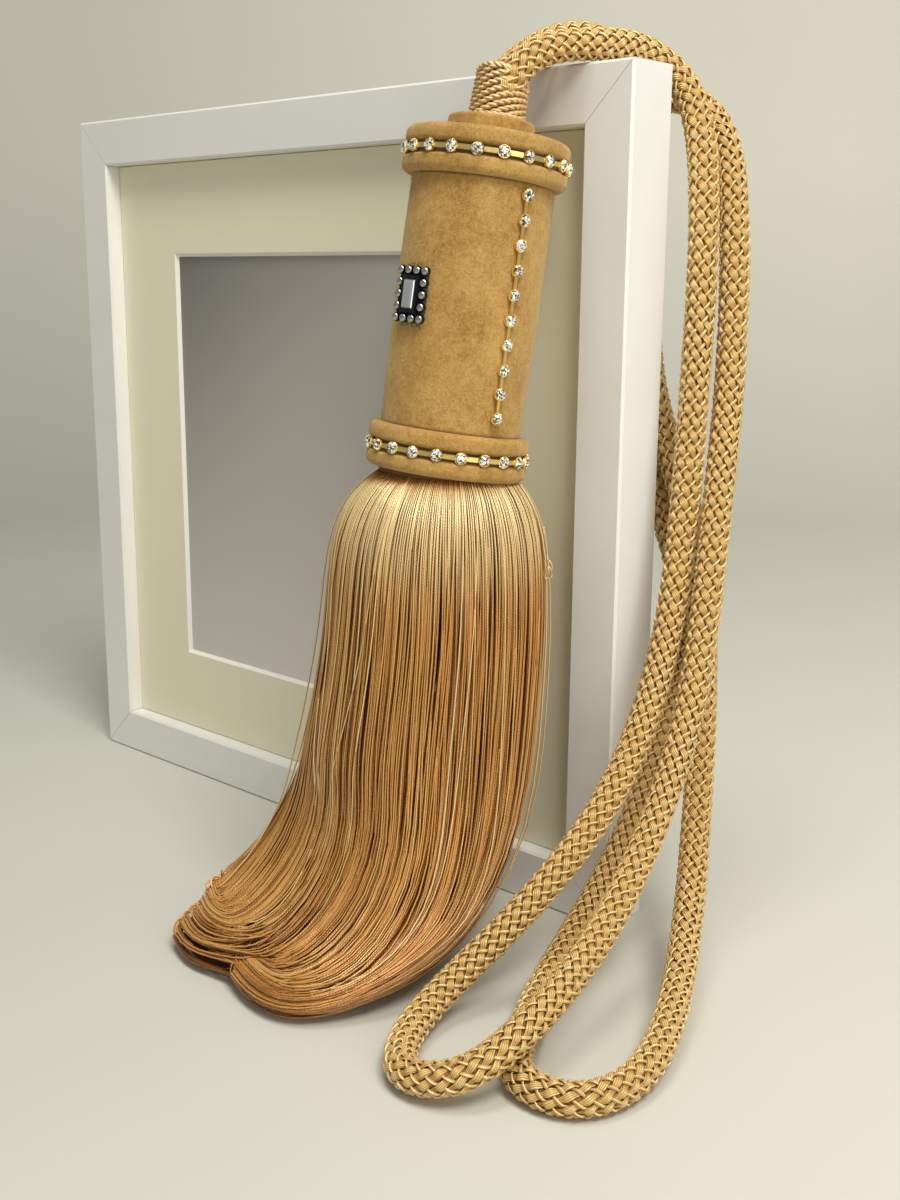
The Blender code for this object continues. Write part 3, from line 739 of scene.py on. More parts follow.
chain = {
    "stone": 1.88 * mm, "stoneHigh": 1.2 * mm, "facets": 10, "cup": 1.98 * mm, "cupHigh": 1.7 * mm,
    "prongHalf": 0.24 * mm, "linkHalf": 0.85 * mm, "linkLow": 0.7 * mm, "linkTop": 1.1 * mm, "lift": 0.3 * mm,
    "upperCount": 20, "upperStart": -55.2, "lowerCount": 21, "lowerStart": -55.4,
    "sideCount": 10, "sideFirst": 13.1 * mm, "sidePitch": 7.5 * mm, "sideAzimuth": -13.2,
    "roundCups": 1.85, "sideCups": 1.80, "sideLinks": 0.6,   # a pitch less so many cup radii is a link
    # the stones' painted glint: they glow with their facet colours, though they are no lamp
    "gold": (1.0, 0.77, 0.27), "paintedGlint": 0.33,
    "tilt": 5.0, "stoneSeat": 0.82,   # degrees each cup leans at most, and how high in it its stone sits
}


def goldFinish():
    gold = Finish("goldMetal", Base_Color=chain["gold"], Metallic=1.0)
    gold.wear("Roughness", gold.noise(800.0, 2.0) * 0.25 + 0.18)
    return gold.material


def crystalFinish():
    # painted reflections and glow: each facet is painted from black to white by its tone, and glows with that
    # colour
    glass = Finish("clearCrystal", Metallic=0.6, Roughness=0.04, Coat_Weight=1.0, Coat_Roughness=0.02,
                   Emission_Strength=chain["paintedGlint"])
    facet = glass.ramp(glass.attribute("tone"), [
        (0.0, (0.02, 0.02, 0.02)), (0.30, (0.12, 0.11, 0.08)), (0.52, (0.46, 0.43, 0.30)),
        (0.72, (0.92, 0.91, 0.86)), (1.0, (1.0, 1.0, 0.98))])
    glass.wear("Base_Color", facet)
    glass.wear("Emission_Color", facet)
    return glass.material


def stoneShape():
    # table, star, kite and girdle facets of a round cut stone, base at z = 0
    radius = chain["stone"]
    rise = chain["stoneHigh"]
    sides = chain["facets"]
    points = []
    for share, height, shift in ((1.0, -0.35, 0.0), (1.0, 0.12, 0.0), (0.78, 0.60, 0.5), (0.46, 0.98, 0.0)):
        for k in range(sides):
            turn = (k + shift) * math.tau / sides
            points.append((radius * share * math.cos(turn), radius * share * math.sin(turn), rise * height))
    points.append((0.0, 0.0, rise))
    faces = []
    for k in range(sides):
        after = (k + 1) % sides
        base, girdle, star, table = [(k + ring * sides, after + ring * sides) for ring in range(4)]
        faces += [
            (*base, girdle[1], girdle[0]), (*girdle, star[0]), (girdle[1], star[1], star[0]),
            (*star, table[1]), (star[0], table[1], table[0]), (*table, 4 * sides)]
    faces.append(list(range(sides))[::-1])
    return points, faces


def cupShape():
    # a shallow round cup with four prongs folded over the stone
    radius = chain["cup"]
    high = chain["cupHigh"]
    points, faces = lathe([
        (radius * 0.80, 0.0), (radius, 0.25 * high), (radius, 0.80 * high), (radius * 0.90, 0.80 * high),
        (radius * 0.86, 0.45 * high),
    ], 20)
    points = points.tolist()
    half = chain["prongHalf"]
    for k in range(4):
        turn = (k + 0.5) * math.tau / 4
        stations = (
            (radius * 1.04, 0.30 * high, 1.0), (radius * 1.05, 0.95 * high, 0.95),
            (radius * 0.90, 1.22 * high, 0.8), (radius * 0.70, 1.30 * high, 0.5),
        )
        prong = [(reach + x, y * half * share, height) for reach, height, share in stations
                 for x, y in ((0.0, -1), (0.0, 1), (-0.16 * radius, 1), (-0.16 * radius, -1))]
        faces += [[len(points) + index for index in face] for face in gridFaces(1, 4, 4)]
        points += carried(prong, Matrix.Rotation(turn, 4, "Z")).tolist()
    return points, faces


def linkShape(length, share):
    # a flat bar from one cup to the next
    half = chain["linkHalf"] * share
    reach = length / 2
    section = ((-half, chain["linkLow"]), (half, chain["linkLow"]),
               (half * 0.85, chain["linkTop"]), (-half * 0.85, chain["linkTop"]))
    points = [(x, y, z) for x in (-reach, reach) for y, z in section]
    return points, gridFaces(1, 2, 4)


def onHead(degrees, radius, height, sideways=False):
    # a place on the head whose Z looks out of it, and whose Y runs up it or round it
    turn = math.radians(degrees)
    outward = Vector((math.cos(turn), math.sin(turn), 0))
    along = outward.cross(upward) if sideways else upward
    grid = Matrix((along.cross(outward).normalized(), along, outward)).transposed().to_4x4()
    return headPlace @ Matrix.Translation(outward * radius + upward * height) @ grid


def roundPlaces(count, start, radius, height, offset=0.0):
    return [onHead(start + (k + offset) * 360 / count, radius, height) for k in range(count)]


def sidePlaces(count, offset=0.0):
    radius = head["barrelRadius"] + chain["lift"]
    return [onHead(chain["sideAzimuth"], radius, chain["sideFirst"] + (k + offset) * chain["sidePitch"], True)
            for k in range(count)]


def makeChain(name, node, cups, links, linkLength, linkShare=1.0):
    gold = goldFinish()
    tilted = []
    for place in cups:
        for axis in "XY":
            place = place @ Matrix.Rotation(math.radians(rng.uniform(-chain["tilt"], chain["tilt"])), 4, axis)
        tilted.append(place @ Matrix.Rotation(rng.uniform(0, math.tau / 8), 4, "Z"))
    lifted = [place @ Matrix.Translation(upward * chain["cupHigh"] * chain["stoneSeat"]) for place in tilted]
    points, faces = repeated(*stoneShape(), lifted)
    # painted reflections: a random tone for each facet, from black to white
    tones = {"tone": rng.uniform(0.0, 1.0, len(faces))}
    piece(name + "Stones", points, faces, crystalFinish(), "gold_metal", smooth=False, perFace=tones)
    holder = piece(name + "Cups", *repeated(*cupShape(), tilted), gold, "gold_metal", sharpAngle=40)
    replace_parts(holder, node)
    shape = linkShape(linkLength, linkShare)
    piece(name + "Links", *repeated(*shape, links), gold, "gold_metal", smooth=False)


def makeChains():
    ring = head["collarRadius"] - head["grooveDepth"] + chain["lift"]
    for name, node, count, start, height in (
        ("chainUpper", "chain_upper", chain["upperCount"], chain["upperStart"], headSpan),
        ("chainLower", "chain_lower", chain["lowerCount"], chain["lowerStart"], 0.0),
    ):
        pitch = math.tau * ring / count
        makeChain(name, node, roundPlaces(count, start, ring, height),
                  roundPlaces(count, start, ring, height, 0.5), pitch - chain["cup"] * chain["roundCups"])
    count = chain["sideCount"]
    makeChain("chainSide", "chain_side", sidePlaces(count), sidePlaces(count - 1, 0.5),
              chain["sidePitch"] - chain["cup"] * chain["sideCups"], chain["sideLinks"])


makeChains()
print("crystal chains set")

# brooch on the barrel

brooch = {
    "azimuth": -94.2, "height": 47.0 * mm, "halfWide": 6.9 * mm, "halfTall": 8.7 * mm,
    "bead": 1.5 * mm, "stoneHalfWide": 2.6 * mm, "stoneHalfTall": 4.6 * mm, "plate": 1.3 * mm,
    "stoneRise": 0.9 * mm, "lift": 0.2 * mm,
    "setting": (0.020, 0.020, 0.024), "stone": (0.50, 0.51, 0.53),
    # painted highlight: the beads are paler steel over their crowns, between the heights given as shares of
    # their radius
    "beadDark": (0.05, 0.05, 0.052), "beadHighlight": (0.50, 0.50, 0.49), "beadHighlightRise": (0.38, 0.74),
    # between the beads and from the middle to their row, as shares of the half width and half height
    "beadRow": (0.53, 0.83), "beadColumn": (0.42, 0.78),
    "beadFoot": -50, "beadRings": 8, "beadSides": 16,   # degrees below a bead's middle where it ends
    "threadEnds": 22, "threadHalf": 0.09 * mm, "threadColour": (0.012, 0.012, 0.014),
}


def beadShape():
    # a round bead that ends in the plate below its middle
    radius = brooch["bead"]
    rings = brooch["beadRings"]
    sides = brooch["beadSides"]
    foot = brooch["beadFoot"]
    points = []
    for ring in range(rings):
        rise = math.radians(foot + (90 - foot) * ring / rings)
        for k in range(sides):
            turn = k * math.tau / sides
            points.append((radius * math.cos(rise) * math.cos(turn), radius * math.cos(rise) * math.sin(turn),
                           radius * math.sin(rise)))
    points.append((0.0, 0.0, radius))
    faces = gridFaces(1, rings, sides)[:-1]
    last = (rings - 1) * sides
    faces += [[last + k, last + (k + 1) % sides, rings * sides] for k in range(sides)]
    return points, faces


def steppedShape(levels):
    # rectangles stacked outward, each (half width, half height, rise)
    points = [(x * w, y * t, z) for w, t, z in levels for x, y in ((-1, -1), (1, -1), (1, 1), (-1, 1))]
    return points, gridFaces(1, len(levels), 4)


def makeBrooch():
    place = onHead(brooch["azimuth"], head["barrelRadius"] + brooch["lift"], brooch["height"])
    dark = Finish("darkSetting", Base_Color=brooch["setting"], Metallic=0.7)
    dark.wear("Roughness", dark.noise(900.0) * 0.3 + 0.25)
    wide = brooch["halfWide"]
    tall = brooch["halfTall"]
    plate = brooch["plate"]
    stoneWide = brooch["stoneHalfWide"]
    stoneTall = brooch["stoneHalfTall"]
    rise = plate + brooch["stoneRise"]
    levels = [
        (wide * 0.8, tall * 0.8, 0.0), (wide * 0.90, tall * 0.90, 0.4 * mm),
        (wide * 0.84, tall * 0.87, plate), (stoneWide * 1.4, stoneTall * 1.28, plate),
        (stoneWide * 1.32, stoneTall * 1.22, plate + 1.3 * mm),
        (stoneWide * 1.06, stoneTall * 1.05, plate + 1.5 * mm), (stoneWide, stoneTall, rise)]
    points, faces = steppedShape(levels)
    points = carried(points, place)
    setting = piece("broochSetting", points, faces, dark.material, "dark_setting", sharpAngle=30)
    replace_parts(setting, "brooch")

    steel = Finish("beadSteel", Metallic=1.0)
    # painted highlight: each bead's base colour is paler over its crown
    steel.wear("Base_Color", steel.mix(steel.attribute("crown"), brooch["beadDark"], brooch["beadHighlight"]))
    steel.wear("Roughness", steel.noise(700.0) * 0.12 + 0.06)
    beads = []
    step, edge = brooch["beadRow"]
    for k in range(4):
        x = (k - 1.5) * wide * step
        beads += [(x, tall * edge), (x, -tall * edge)]
    step, edge = brooch["beadColumn"]
    for k in (-1, 0, 1):
        beads += [(wide * edge, k * tall * step), (-wide * edge, k * tall * step)]
    places = [place @ Matrix.Translation((x, y, plate)) for x, y in beads]
    shape, faces = beadShape()
    crown = smooth(*brooch["beadHighlightRise"], np.array(shape)[:, 2] / brooch["bead"])
    beadHighlights = {"crown": np.tile(crown, len(places))}
    piece("broochBeads", *repeated(shape, faces, places), steel.material, "dark_setting", beadHighlights)

    glass = Finish("greyStone", Base_Color=brooch["stone"], Metallic=0.55, Roughness=0.04, Coat_Weight=1.0)
    points, faces = steppedShape([
        (stoneWide, stoneTall, rise), (stoneWide * 0.82, stoneTall * 0.88, rise + 0.7 * mm),
        (stoneWide * 0.52, stoneTall * 0.74, rise + 1.0 * mm)])
    piece("broochStone", carried(points, place), faces, glass.material, "dark_setting", smooth=False)

    # loose ends of the black sewing thread above and below
    ends = brooch["threadEnds"]
    base = rng.uniform(-0.75, 0.75, ends) * wide
    above = np.where(np.arange(ends) % 2 == 0, 1.0, -1.0)
    reach = np.linspace(0, 1, 5)
    paths = np.zeros((ends, 5, 3))
    paths[..., 0] = base[:, None] + reach[None] * rng.uniform(-0.7, 0.7, ends)[:, None] * mm
    paths[..., 1] = above[:, None] * (tall * 0.9 + reach[None] * rng.uniform(0.8, 2.2, ends)[:, None] * mm)
    paths[..., 2] = 0.5 * mm + np.sin(reach[None] * math.pi) * 0.4 * mm
    side, rise = sectionFrames(paths, np.array(upward))
    tuft = sweep(paths, side, rise, roundOutline(3), brooch["threadHalf"], brooch["threadHalf"])
    thread = Finish("blackThread", Base_Color=brooch["threadColour"], Roughness=0.7)
    piece("broochThreads", carried(tuft, place), gridFaces(ends, 5, 3), thread.material, "dark_setting")


makeBrooch()
print("brooch set")

# whipping: twisted cord wound round the two rope ends

whipping = {
    "cords": 9, "turns": 0.72, "samples": 46, "cordHalf": 0.98 * mm, "plies": 2, "plyTurn": 4.4 * mm,
    "baseSide": 8.3 * mm, "topSide": 7.9 * mm, "topDeep": 9.0 * mm,
    "baseShift": 1.2 * mm, "baseRise": -0.2 * mm, "baseLean": 0.05,
    "topMiddle": (0.1150, -0.0311, 0.2812), "topNormal": (0.02, 0.55, 0.84), "viewSide": (0.738, 0.674, 0.0),
    "pale": (0.90, 0.68, 0.33), "deep": (0.62, 0.38, 0.13), "yarns": 2.0, "tones": (0.4, 0.95),
    "plyOut": 0.42, "plyHalf": 0.64,   # shares of the cord's half width
    "ringSamples": 60, "ringOut": 0.2 * mm, "footRise": 0.5 * mm,
    "coreShadowColours": ((0.13, 0.06, 0.018), (0.24, 0.13, 0.04)), "coreSteps": 7, "coreSides": 36,
    "coreFoot": 0.95, "coreCrown": 0.9, "coreDrop": 2.0 * mm,
}


def oval(middle, up, halfSide, halfDeep, angle):
    # points of a tilted oval round the neck, its first half size along the picture's width
    viewSide = np.array(whipping["viewSide"])
    first = unit(viewSide - up * np.dot(viewSide, up))
    second = np.cross(up, first)
    return middle + np.cos(angle)[..., None] * first * halfSide + np.sin(angle)[..., None] * second * halfDeep


def twistedCord(paths, middles, half, closed):
    # two plies round each path, whose rings are joined up where the path is closed
    travel = travelAlong(paths)
    whole = travel[:, -1:] + (np.linalg.norm(paths[:, :1] - paths[:, -1:], axis=2) if closed else 0)
    rounds = np.round(whole / whipping["plyTurn"]) / whole
    if closed:
        looped = np.concatenate([paths[:, -1:], paths, paths[:, :1]], axis=1)
        direction = unit(looped[:, 2:] - looped[:, :-2])
    else:
        direction = unit(np.gradient(paths, axis=1))
    outward = unit(paths - middles)
    side = unit(outward - direction * np.sum(outward * direction, axis=-1, keepdims=True))
    rise = np.cross(direction, side)
    thick = half * whipping["plyHalf"]
    made = []
    for ply in range(whipping["plies"]):
        spin = (travel * rounds * math.tau + ply * math.tau / whipping["plies"])[..., None]
        centre = paths + (side * np.cos(spin) + rise * np.sin(spin)) * half * whipping["plyOut"]
        made.append(sweep(centre, side, rise, roundOutline(8), thick, thick))
    return np.concatenate(made), np.concatenate([travel] * whipping["plies"])


def makeWhipping():
    normal = unit(np.array(whipping["topNormal"]))
    topMiddle = np.array(whipping["topMiddle"])
    axis = np.array(headAxis)
    viewSide = np.array(whipping["viewSide"])
    seat = headSpan + head["collarHalf"] + head["capHigh"]
    baseMiddle = np.array(headPlace @ (upward * seat)) + axis * whipping["baseRise"]
    baseMiddle = baseMiddle + viewSide * whipping["baseShift"]
    baseNormal = unit(axis - viewSide * whipping["baseLean"])
    baseSide = whipping["baseSide"]
    samples = whipping["samples"]
    share = np.linspace(0, 1, samples)[None, :]
    angle = share * whipping["turns"] * math.tau
    angle = angle + np.arange(whipping["cords"])[:, None] * math.tau / whipping["cords"]
    low = oval(baseMiddle, baseNormal, baseSide, baseSide, angle)
    high = oval(topMiddle, normal, whipping["topSide"], whipping["topDeep"], angle)
    middles = (baseMiddle + (topMiddle - baseMiddle) * share[..., None]) * np.ones_like(low)
    cords, travel = twistedCord(low + (high - low) * share[..., None], middles, whipping["cordHalf"], False)
    gold = ropeFinish("whippingGold", whipping["pale"], whipping["deep"], whipping["yarns"])

    def wind(name, points, travel, closed):
        strands, rings, sides = points.shape[:3]
        values = {"across": roundOutline(sides)[:, 0], "along": travel[..., None],
                  "tone": rng.uniform(*whipping["tones"], (strands, 1, 1))}
        values = {key: np.broadcast_to(value, points.shape[:3]) for key, value in values.items()}
        return piece(name, points, gridFaces(strands, rings, sides, closed), gold, "whipping_cord", values)

    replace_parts(wind("neckWhipping", cords, travel, False), "neck_whipping")
    # a closing turn at the foot and at the top
    samples = whipping["ringSamples"]
    out = whipping["ringOut"]
    angle = np.arange(samples)[None, :] * math.tau / samples
    foot = oval(baseMiddle + axis * whipping["footRise"], axis, baseSide + out, baseSide + out, angle)
    crown = oval(topMiddle, normal, whipping["topSide"] + out, whipping["topDeep"] + out, angle)
    middles = np.stack([baseMiddle, topMiddle])[:, None] * np.ones((1, samples, 1))
    points, travel = twistedCord(np.concatenate([foot, crown]), middles, whipping["cordHalf"], True)
    wind("neckRings", points, travel, True)

    # the bound rope under the winding, painted dark brown as the shadow between the cords
    steps = whipping["coreSteps"]
    sides = whipping["coreSides"]
    angle = np.arange(sides) * math.tau / sides
    wide = baseSide * whipping["coreFoot"]
    share = whipping["coreCrown"]
    foot = oval(baseMiddle - axis * whipping["coreDrop"], axis, wide, wide, angle)
    crown = oval(topMiddle, normal, whipping["topSide"] * share, whipping["topDeep"] * share, angle)
    core = foot + (crown - foot) * np.linspace(0, 1, steps)[:, None, None]
    shade = Finish("whippingShade", Roughness=0.9)
    shade.wear("Base_Color", shade.mix(shade.noise(500.0), *whipping["coreShadowColours"]))
    piece("neckCore", core, gridFaces(1, steps, sides), shade.material, "whipping_cord")


makeWhipping()
print("neck whipped")

# skirt: threads doubled back at their tips, from under the lower collar to the surface

skirt = {
    # threads lie in layers from the outside in: ring of each layer and the threads in it, a multiple of four
    "layers": ((0.995, 268), (0.975, 256), (0.950, 244), (0.915, 200), (0.86, 148), (0.76, 104), (0.58, 64)),
    "samples": 32, "half": 0.36 * mm, "heading": -98.0, "rootThin": 0.62,
    "hanks": 17, "hankPull": 0.10, "hankUneven": 0.014, "uneven": 0.008,
    # how much the threads vary: in the way round and out of the bundle, in place, in turn and in ring
    "roundWander": 0.015, "outWander": 0.007, "placing": 0.16, "travel": 0.055, "spread": 0.008,
    "roundWaves": (4.0, 9.0), "outWaves": (5.0, 11.0), "halfVaries": (0.90, 1.06),
    # from here on down the threads turn aside, in two locks, and run along the line of the tips
    "turnFrom": 0.62, "parting": 0.32, "partingSlant": 2.5, "sunkEnd": 0.65,
    "asideFrom": 0.3, "downBy": 0.62,   # shares of a thread's lower half, where it turns and where it is down
    # right lock, then left: where its threads end across the skirt, how deep they reach towards the tips,
    # each at its left edge and the change to its right one, and how square its front is
    "ends": ((-0.12, 0.15), (-0.90, 0.16)), "depths": ((0.93, 0.08), (0.72, 0.325)), "steep": (3.0, 4.0),
    "frontApart": 0.035,   # the front of the right lock has come away from the rest of it
    "fold": 24, "under": 0.35, "acrossParting": 0.06, "outerLayers": 3,
    "drop": 0.005, "dropUnder": 0.025,   # how far a loop stops short of the line, and one that goes under
    # the half turn at the tips: its points in degrees, and its smallest and largest radius
    "bowTurns": (26, 58, 90, 122, 154), "bowRadius": (0.7 * mm, 6 * mm),
    # thread colours, darkest to palest; the darkest is also the colour of the painted shade between threads
    "dark": (0.21, 0.068, 0.008), "mid": (0.69, 0.295, 0.050), "pale": (1.0, 0.72, 0.28),
    # painted highlight on the shoulder: its colour and how far it is mixed in
    "paintedHighlight": (1.0, 0.83, 0.42), "paintedHighlightStrength": 0.90, "gloss": 0.20, "twist": 1.0 * mm,
    # painted shade: each layer inward is darker, under the outer threads
    "tone": 0.52, "toneSpread": 0.13, "layerShade": 0.06,   # darker by so much for each layer inward
    # lengths from a thread's root, thin up to the first and with a painted highlight between the others
    "thinTo": 25 * mm, "highlightIn": (2 * mm, 9 * mm), "highlightOut": (10 * mm, 50 * mm),
    "bareTip": (4 * mm, 14 * mm), "bareness": 0.7,   # lengths from its tip, where less shades it
    "strays": 24, "strayHalf": (0.22, 0.33), "strayAngles": (-80, 190), "straySlope": 0.20,
    "strayRings": (1.0, 1.015), "strayBow": 0.012, "strayDrop": (0.01, 0.12), "strayTones": (0.3, 1.0),
    "strayShades": ((0.62, 0.38, 0.13), (0.86, 0.61, 0.27), (1.0, 0.80, 0.44)),
    # angle of each thread that hangs free and how far out it bows
    "freeThreads": ((130, 0.07), (-46, 0.09), (-40, 0.04), (140, 0.03)),
    # the curled thread: its angle, its ring, where it starts and how far it goes down the flow
    "knotAngle": -34, "knotRing": 1.07, "knotFrom": 0.22, "knotReach": 0.13, "knotSize": 1.9 * mm,
    "knotHalf": 0.26 * mm, "knotSamples": 48, "knotHeld": 20, "knotTone": 0.8,
    # centre of the bundle x, y, z and its half size across and through the sweep, in mm, and its tilt
    "rows": np.array([
        (107.0, -48.4, 161.2, 20.6, 20.6, 0),
        (106.6, -48.9, 157.6, 25.6, 25.2, 0),
        (106.3, -49.5, 151.8, 30.0, 29.6, 0),
        (105.9, -49.9, 143.0, 33.7, 33.2, 0),
        (105.5, -50.2, 128.9, 35.5, 35.1, 0),
        (105.3, -50.3, 110.0, 36.2, 35.8, 0),
        (103.4, -51.8, 90.0, 37.8, 36.2, 3),
        (102.0, -53.3, 70.0, 39.6, 36.6, 9),
        (100.4, -57.6, 49.5, 42.6, 36.4, 26),
        (98.4, -68.4, 31.5, 46.4, 29.8, 48),
        (95.0, -84.5, 19.0, 50.6, 18.8, 68),
        (92.0, -103.5, 10.8, 51.8, 10.5, 81),
        (89.5, -119.0, 7.0, 49.0, 6.8, 86),
        (88.0, -136.0, 4.6, 46.0, 4.4, 89),
    ]),
    # the backing tape under the collar, painted dark as the collar's shadow: radius and height in mm
    "tape": ((3, -9.8), (20.5, -9.4), (22.5, -6.6), (3, -6.6)), "tapeShadowColour": (0.16, 0.085, 0.03),
    # the line that the tips reach on the surface, x and y in mm
    "tips": np.array([
        (38, -99), (42, -108), (46, -115), (54, -122.5), (63, -127), (74, -127.5), (84, -123.5), (93, -127),
        (105, -130.0), (114, -130.5), (123, -128.5), (131, -123), (138, -114), (143, -102), (146, -90),
    ]),
}


def flow(ring, angle, reach):
    # a point of the bundle and the way out of the bundle there
    # ring 1 is its outside, and reach runs from the root, 0, to the last row, 1
    rows = skirt["rows"]
    place = np.clip(reach, 0, 1) * (len(rows) - 1)
    base = np.minimum(place.astype(int), len(rows) - 2)
    f = (place - base)[..., None]
    p0 = rows[np.maximum(base - 1, 0)]
    p1 = rows[base]
    p2 = rows[base + 1]
    p3 = rows[np.minimum(base + 2, len(rows) - 1)]
    row = 0.5 * (2 * p1 + (p2 - p0) * f + (2 * p0 - 5 * p1 + 4 * p2 - p3) * f ** 2
                 + (3 * p1 - p0 - 3 * p2 + p3) * f ** 3)
    heading = math.radians(skirt["heading"])
    forward = np.array([math.cos(heading), math.sin(heading), 0.0])
    across = np.array([-forward[1], forward[0], 0.0])
    tilt = np.radians(row[..., 5:6])
    through = forward * np.cos(tilt) + np.array([0.0, 0.0, 1.0]) * np.sin(tilt)
    point = row[..., :3] + across * row[..., 3:4] * (ring * np.cos(angle))[..., None]
    point = point + through * row[..., 4:5] * (ring * np.sin(angle))[..., None]
    outward = across * np.cos(angle)[..., None] / row[..., 3:4]
    outward = outward + through * np.sin(angle)[..., None] / row[..., 4:5]
    return point * mm, unit(outward)


def tipReach(ring, angle):
    # how far down the flow each thread meets the line of the tips
    steps = np.linspace(skirt["turnFrom"], 1.0, 77)
    every = np.ones((len(angle), len(steps)))
    points = flow(ring[:, None], angle[:, None] * every, steps * every)[0] / mm
    line = np.interp(points[..., 0], skirt["tips"][:, 0], skirt["tips"][:, 1])
    passed = points[..., 1] < line
    return steps[np.where(passed.any(axis=1), passed.argmax(axis=1), len(steps) - 1)]


def wander(count, share, size, waves):
    # a slow drift along each thread, with none at its root
    drift = 0.0
    for wave in waves:
        phase = rng.uniform(0, math.tau, (count, 1))
        drift = drift + np.sin(share * wave * rng.uniform(0.7, 1.3, (count, 1)) + phase) - np.sin(phase)
    return drift * size


def halfTurn(angle):
    # the same angle, no more than half a turn either way
    return (angle + math.pi) % math.tau - math.pi


def turnedAside(rings, angles, share, drop):
    # each lock of threads turns to one side and its foremost threads follow the line of the tips
    grid = np.linspace(3.12, 0.02, 60)

    def ofLock(values):
        (right0, right1), (left0, left1) = values
        return np.where(right, right0 + right1 * nearness, left0 + left1 * nearness)

    across = np.cos(angles)
    tip = across[:, -1:]
    parting = skirt["parting"] - (1 - rings[:, -1:]) * skirt["partingSlant"]
    right = tip > parting
    nearness = np.clip(np.where(right, (tip - parting) / (1 - parting), (tip + 1) / (1 + parting)), 0, 1)
    depth = ofLock(skirt["depths"]) + np.where(right, skirt["frontApart"] * smooth(0.70, 0.74, nearness), 0)
    last = np.clip(2 * share - 1, 0, 1)
    turning = np.clip((last - skirt["asideFrom"]) / (1 - skirt["asideFrom"]), 0, 1)
    aside = 1 - np.cos(turning * math.pi / 2)
    down = np.sin(np.clip(last / skirt["downBy"], 0, 1) * math.pi / 2)
    across = across + (ofLock(skirt["ends"]) - across) * aside
    edge = np.interp(rings * across, np.cos(grid), tipReach(np.ones(len(grid)), grid))
    # the foremost threads of a lock run lower than the rest and close its front
    steep = np.where(right, *skirt["steep"])
    rounding = 1 - smooth(0.05, 0.6, last) * (1 - np.sqrt(np.clip(1 - nearness ** steep, 0, 1)))
    # the right lock sinks towards its end, where the left one lies over it
    sunk = np.where(right, skirt["sunkEnd"] * (1 - 0.4 * nearness), 0) * smooth(0.45, 1.0, last)
    height = np.sqrt(np.clip(1 - across ** 2, 0, 1)) * rounding * (1 - sunk)
    height = height * np.where(np.sin(angles) < 0, -1, 1)
    angles = np.arctan2(height, across)
    rings = rings * np.hypot(across, height)
    start = skirt["turnFrom"]
    reach = start * np.minimum(2 * share, 1) + ((edge - drop[:, None]) - start) * depth * down
    return rings, angles, reach


def settled(points, smoothings=3):
    # threads without sharp turns, and none below the surface
    for smoothing in range(smoothings):
        points[:, 1:-1] = (points[:, :-2] + 2 * points[:, 1:-1] + points[:, 2:]) / 4
    points[..., 2] = np.maximum(points[..., 2], skirt["half"] * 1.05)
    return points


def threadLegs(rings, angle, drop, hankCentres):
    # turn is how far round the bundle each thread goes from root to tip, and drop how far it stops short
    count = len(rings)
    rings = rings + rng.normal(0, skirt["spread"], count)
    turn = rng.normal(0, skirt["travel"], count)
    share = np.linspace(0, 1, skirt["samples"])[None, :]
    tip = angle + turn
    near = np.abs(halfTurn(tip[:, None] - hankCentres[None])).argmin(axis=1)
    towards = halfTurn(hankCentres[near] - tip)
    angles = angle[:, None] + turn[:, None] * smooth(0.10, 0.95, share)
    angles = angles + (towards * skirt["hankPull"])[:, None] * smooth(0.15, 0.6, share)
    aside = wander(count, share, skirt["roundWander"], skirt["roundWaves"])
    angles = angles + aside * smooth(0.02, 0.5, share)
    out = wander(count, share, skirt["outWander"], skirt["outWaves"]) * smooth(0.03, 0.4, share)
    rings = rings[:, None] * (1 + out)
    points, outward = flow(*turnedAside(rings, angles, share, drop))
    return settled(points), outward


def doubledEnds(first, second, outFirst, outSecond, under):
    # the half turn from the end of one leg to the end of the other
    forward = unit(unit(first[:, -1] - first[:, -3]) + unit(second[:, -1] - second[:, -3]))
    middle = (first[:, -1] + second[:, -1]) / 2
    radius = np.clip(np.linalg.norm(first[:, -1] - second[:, -1], axis=1) / 2, *skirt["bowRadius"])
    bow = []
    for degrees in skirt["bowTurns"]:
        turn = math.radians(degrees)
        ahead = forward * (radius * math.sin(turn))[:, None]
        bow.append(middle + (first[:, -1] - middle) * math.cos(turn) + ahead)
    bow = np.stack(bow, axis=1)
    beside = unit(outFirst[:, -1] + outSecond[:, -1])[:, None]
    outward = np.where(under[:, None, None], unit(bow - middle[:, None]), beside)
    return settled(bow, 0), outward


